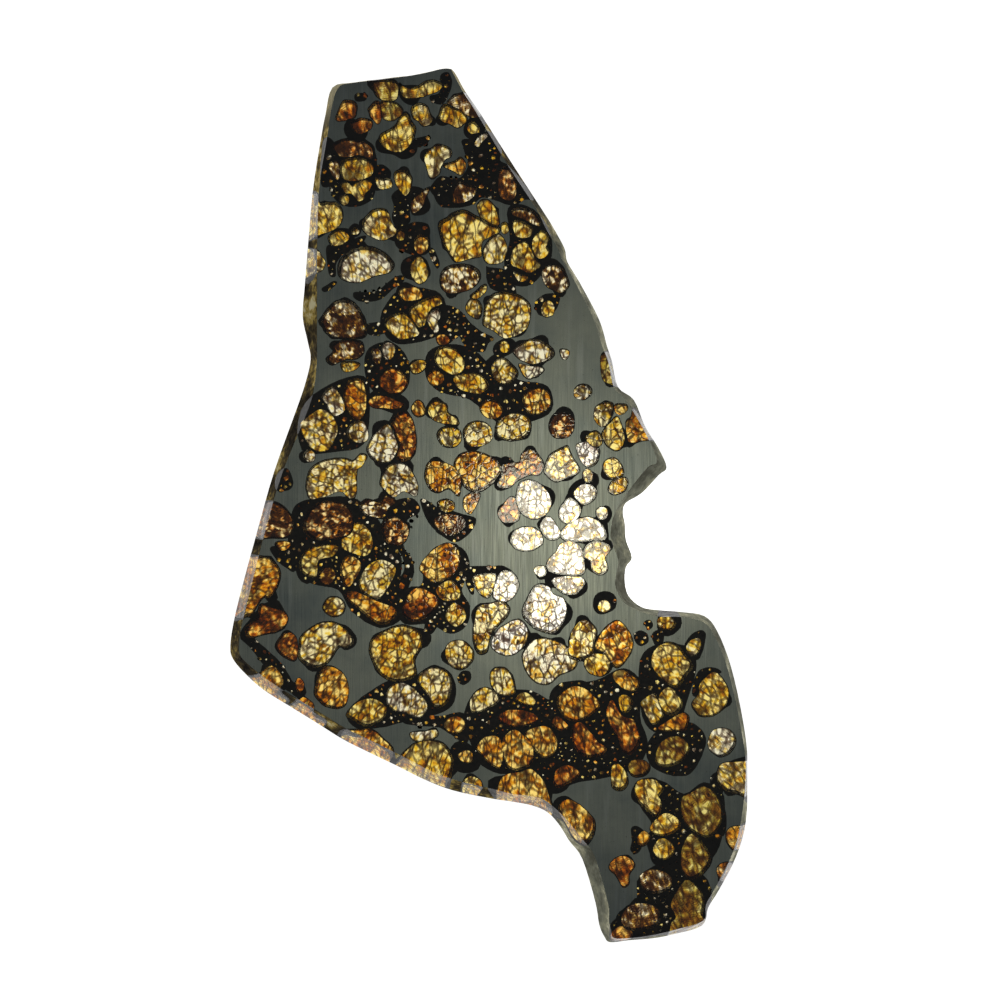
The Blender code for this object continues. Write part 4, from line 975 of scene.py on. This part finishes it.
def crustFinish():
    # the ground and broken side; its gold and cream are painted glow that stands in for light coming through cut
    # crystals, and its palest colours are painted glints
    made = Finish("broken_side_painted_glow")
    patch = made.noise(made.bent(made.place(), *crustLook["bend"]), crustLook["patch"], 3, 0.6)
    grain = made.noise(made.place((1, 1, 2.2)), crustLook["grain"], 3, 0.6)
    shade = patch * 0.8 + grain * 0.26
    right = made.between(made.axis(0), *crustLook["rightFrom"])
    top = made.between(made.axis(1), *crustLook["topFrom"])
    colour = made.mix(right, made.ramp(shade, crustLook["left"]), made.ramp(shade, crustLook["right"]))
    colour = made.mix(top * 0.8, colour, crustLook["topColour"])
    bump = made.bump(0.5, 0.00015, grain)
    made.set(Base_Color=colour, Roughness=0.8, Metallic=0.0, Specular_IOR_Level=0.02, Normal=bump)
    return made.material


print("finishes")
finishes = {tone: olivineFinish(tone) for tone in tones}
wallFinish = sulphideFinish("iron_sulphide_wall")
sulphide = sulphideFinish("iron_sulphide")
metalPolish = metalFinish()
crustPaintedGlow = crustFinish()


def withinPlate(point):
    return Vector((min(max(point.x, plateLow.x), plateHigh.x), min(max(point.y, plateLow.y), plateHigh.y)))


def rimOutline(side):
    # the rim on the back (0) or on the front (1)
    return smoothClosed([place(pair[side]) for pair in rimPairs][::-1], plate["steps"])


def plateSolid(name, sideSlot, materials=()):
    # the rim at each height, from the back's outline to the front's, with a broken face between
    back, front = rimOutline(0), rimOutline(1)
    rings, heights = [], []
    for level in range(plate["levels"]):
        up = level / (plate["levels"] - 1)
        ring = [b.lerp(f, up) for b, f in zip(back, front)]
        if 0 < level < plate["levels"] - 1:
            ring = moved(ring, lambda p: noiseAt(p, plate["changeSize"], level) * plate["roughness"])
        rings.append([withinPlate(point) for point in ring])
        heights.append(thickness * up)
    return loft(name, rings, heights, sideSlot, materials)


def naturalOutline(points, layer):
    # smooth, and wandering a little as a real grain does
    smooth = smoothClosed(counterClockwise([place(point) for point in points]), crystal["steps"])
    return moved(smooth, lambda p: noiseAt(p, crystal["changeSize"], layer) * crystal["wobble"])


def backOutline(front, luck):
    share = luck.uniform(*crystal["backShare"])
    turn = luck.uniform(0, 2 * math.pi)
    shift = Vector((math.cos(turn), math.sin(turn))) * crystal["backShift"]
    centre = middle(front)
    return [centre + (point - centre) * share + shift for point in front]


def column(name, grain, growth, materials=()):
    # one crystal's body, standing past both faces
    rings = [moved(grain["back"], lambda p: growth), moved(grain["front"], lambda p: growth)]
    return loft(name, rings, [-crystal["overshoot"], thickness + crystal["overshoot"]], 1, materials)


print("outlines")
luck = random.Random(fragments["seed"])
safeRim = moved(rimOutline(1), lambda p: -plate["cutBand"])
grains = []  # every crystal: its group, tone, front outline and back outline
for groups in (crystalGroups, looseGroups):
    for group, members in groups.items():
        for tone, points in members:
            front = naturalOutline(points, len(grains))
            grains.append({"group": group, "tone": tone, "front": front, "back": backOutline(front, luck),
                           "middle": middle(front), "reach": max((p - middle(front)).length for p in front)})

print("crystals:", len(grains))
trim = plateSolid("trim", 0)
bpy.ops.mesh.primitive_cube_add(size=1, location=(0, 0, thickness / 2),
                                scale=(plate["slabSide"], plate["slabSide"], thickness))
slab = bpy.context.active_object
bodies = {}
holes = []
for i, grain in enumerate(grains):
    body = column("crystal", grain, 0, (finishes[grain["tone"]], wallFinish))
    for earlier in grains[:i]:
        if meets(grain, earlier, crystal["seam"]):
            boolean(body, column("cut", earlier, crystal["seam"]), "DIFFERENCE")
    hole = bpy.data.objects.new("hole", body.data.copy())
    hole.data.materials.clear()
    bpy.context.scene.collection.objects.link(hole)
    holes.append(hole)
    within = all(inside(p, safeRim) for p in grain["front"] + grain["back"])
    boolean(body, slab if within else trim, "INTERSECT", keep=True)
    bodies.setdefault(grain["group"], []).append(body)
bpy.data.objects.remove(slab, do_unlink=True)
pieces = {group: joined(members, group) for group, members in bodies.items()}

print("dark rims")
darkOutlines = []


def rimWidth(point):
    # thin, with a broad crescent here and there; the rim is partly iron sulphide and partly painted shade
    return rims["width"] + rims["broad"] * max(0, noiseAt(point, rims["changeSize"], rims["layer"]) - rims["rare"])


for grain in grains:
    darkOutlines.append(moved(grain["front"], rimWidth))
patchOutlines = [naturalOutline(points, rims["patchLayer"]) for points in darkPatches]
patchAreas = [abs(sum(a.cross(b) for a, b in zip(outline, outline[1:] + outline[:1]))) for outline in patchOutlines]
darkOutlines += patchOutlines
low, high = -2 * crystal["overshoot"], thickness + 2 * crystal["overshoot"]
dark = unionOf([loft("dark", [outline, outline], [low, high]) for outline in darkOutlines])

metal = plateSolid("metal", 1, (metalPolish, crustPaintedGlow))
boolean(metal, dark, "DIFFERENCE", keep=True)
boolean(dark, trim, "INTERSECT", keep=True)
boolean(dark, joined(holes, "holes"), "DIFFERENCE")

print("fragments")
chips = {"pale": [], "gold": [], "rust": []}
turn = fragments["cornerTurn"]
kept = []
for _ in range(fragments["tries"]):
    if luck.random() < fragments["inPatches"]:
        outline = luck.choices(patchOutlines, patchAreas)[0]
    else:
        outline = luck.choice(darkOutlines)
    spot = middle(outline).lerp(luck.choice(outline), luck.uniform(*fragments["outward"]))
    size = luck.uniform(*fragments["radius"]) * luck.uniform(*fragments["shrink"])
    room = size + fragments["margin"] * 0.5
    if not inside(spot, safeRim):
        continue
    if any((spot - other).length < room + otherSize for other, otherSize in kept):
        continue
    near = [g for g in grains if (g["middle"] - spot).length < g["reach"] + room]
    if any(inside(spot, g["front"]) or gapTo(spot, g["front"]) < room + fragments["wallGap"] for g in near):
        continue
    kept.append((spot, size))
    corners = luck.randint(*fragments["corners"])
    shape = []
    for k in range(corners):
        angle = 2 * math.pi * (k + luck.uniform(-turn, turn)) / corners
        reach = luck.uniform(*fragments["cornerReach"])
        shape.append(spot + Vector((math.cos(angle), math.sin(angle))) * size * reach)
    chips[luck.choice(list(chips))].append(shape)
print("fragments kept:", len(kept))
for tone, shapes in chips.items():
    solids = [loft("chip", [shape, shape], [0, thickness], 1, (finishes[tone], wallFinish)) for shape in shapes]
    pieces["olivine_fragments_" + tone] = joined(solids, "chips")
    boolean(dark, joined([loft("hole", [shape, shape], [low, high]) for shape in shapes], "holes"), "DIFFERENCE")
bpy.data.objects.remove(trim, do_unlink=True)
# The dark piece takes the iron sulphide finish; its rims and the black between close crystals are partly painted
# shade.
for polygon in dark.data.polygons:
    polygon.material_index = 0
dark.data.materials.clear()
dark.data.materials.append(sulphide)

for group, piece in pieces.items():
    tone = next((g["tone"] for g in grains if g["group"] == group), group.split("_")[-1])
    piece.name = group + "_polished"
    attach(piece, "root")
    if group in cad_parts:
        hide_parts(group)
metal.name = "metal_matrix_polished"
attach(metal, "root")
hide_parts("metal_matrix")
dark.name = "iron_sulphide_and_painted_shade"
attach(dark, "root")

print("stage")
light = {
    "floorSize": 6,
    "floorDrop": 0.00005,  # metres under the slice
    "floorColour": (0.8, 0.8, 0.79, 1),
    "floorGlow": 1.0,
    "floorGlowColour": (1.0, 0.995, 0.985),
    "lampUnder": (582, 560),  # pixel above the lamp under the floor
    "lampGlow": 1.0,  # what the lamp adds to the floor's glow
    "lampReach": 0.024,
    "world": (0.80, 0.88, 0.95),
    "worldStrength": 0.115,
    "keyPlace": (-0.30, 0.26, 0.45),
    "keyTarget": (0, 0, 0),
    "keySize": 0.22,
    "keyPower": 0.04,
    "keyColour": (1, 0.98, 0.95),
    "glowPlace": (0.020, -0.012, 0.60),
    "glowTarget": (0.012, -0.006, 0),
    "glowSize": 0.06,
    "glowPower": 0.056,
    "glowColour": (1.0, 0.97, 0.76),
}


def stageFloor():
    bpy.ops.mesh.primitive_plane_add(size=light["floorSize"], location=(0, 0, -light["floorDrop"]))
    bpy.ops.object.transform_apply()
    floor = bpy.context.active_object
    floor.name = "floor"
    made = Finish("light_floor")
    spot = place(light["lampUnder"])
    away = made.node("ShaderNodeVectorMath", {"operation": "DISTANCE"},
                     {0: made.place(), 1: (spot.x, spot.y, 0)}, output=1)
    glow = light["floorGlow"] + (1 - made.between(away, 0, light["lampReach"])) * light["lampGlow"]
    lamp = made.node("ShaderNodeVectorMath", {"operation": "SCALE"}, {0: light["floorGlowColour"], "Scale": glow})
    made.set(Base_Color=light["floorColour"], Roughness=0.9, Emission_Color=lamp, Emission_Strength=1.0)
    floor.data.materials.append(made.material)


def areaLight(name):
    data = bpy.data.lights.new(name, "AREA")
    data.shape = "DISK"
    data.size = light[name + "Size"]
    data.energy = light[name + "Power"]
    data.color = light[name + "Colour"]
    obj = bpy.data.objects.new(name, data)
    location, target = Vector(light[name + "Place"]), Vector(light[name + "Target"])
    obj.location = location
    obj.rotation_euler = (target - location).to_track_quat("-Z", "Y").to_euler()
    bpy.context.scene.collection.objects.link(obj)


def camera():
    # straight above the middle of the photograph, at the distance where its width just fills the view
    view = {"lens": 85, "sensor": 36}
    centre = place((photo["size"] / 2, photo["size"] / 2))
    height = thickness + photo["size"] * pixel * view["lens"] / view["sensor"]
    data = bpy.data.cameras.new("camera")
    data.lens = view["lens"]
    data.sensor_width = view["sensor"]
    data.clip_start = 0.01
    obj = bpy.data.objects.new("camera", data)
    obj.location = (centre.x, centre.y, height)
    bpy.context.scene.collection.objects.link(obj)
    bpy.context.scene.camera = obj


stageFloor()
areaLight("key")
areaLight("glow")
world = bpy.data.worlds.new("studio")
world.use_nodes = True
world.node_tree.nodes["Background"].inputs[0].default_value = (*light["world"], 1)
world.node_tree.nodes["Background"].inputs[1].default_value = light["worldStrength"]
bpy.context.scene.world = world
bpy.context.scene.view_settings.view_transform = "Standard"
camera()
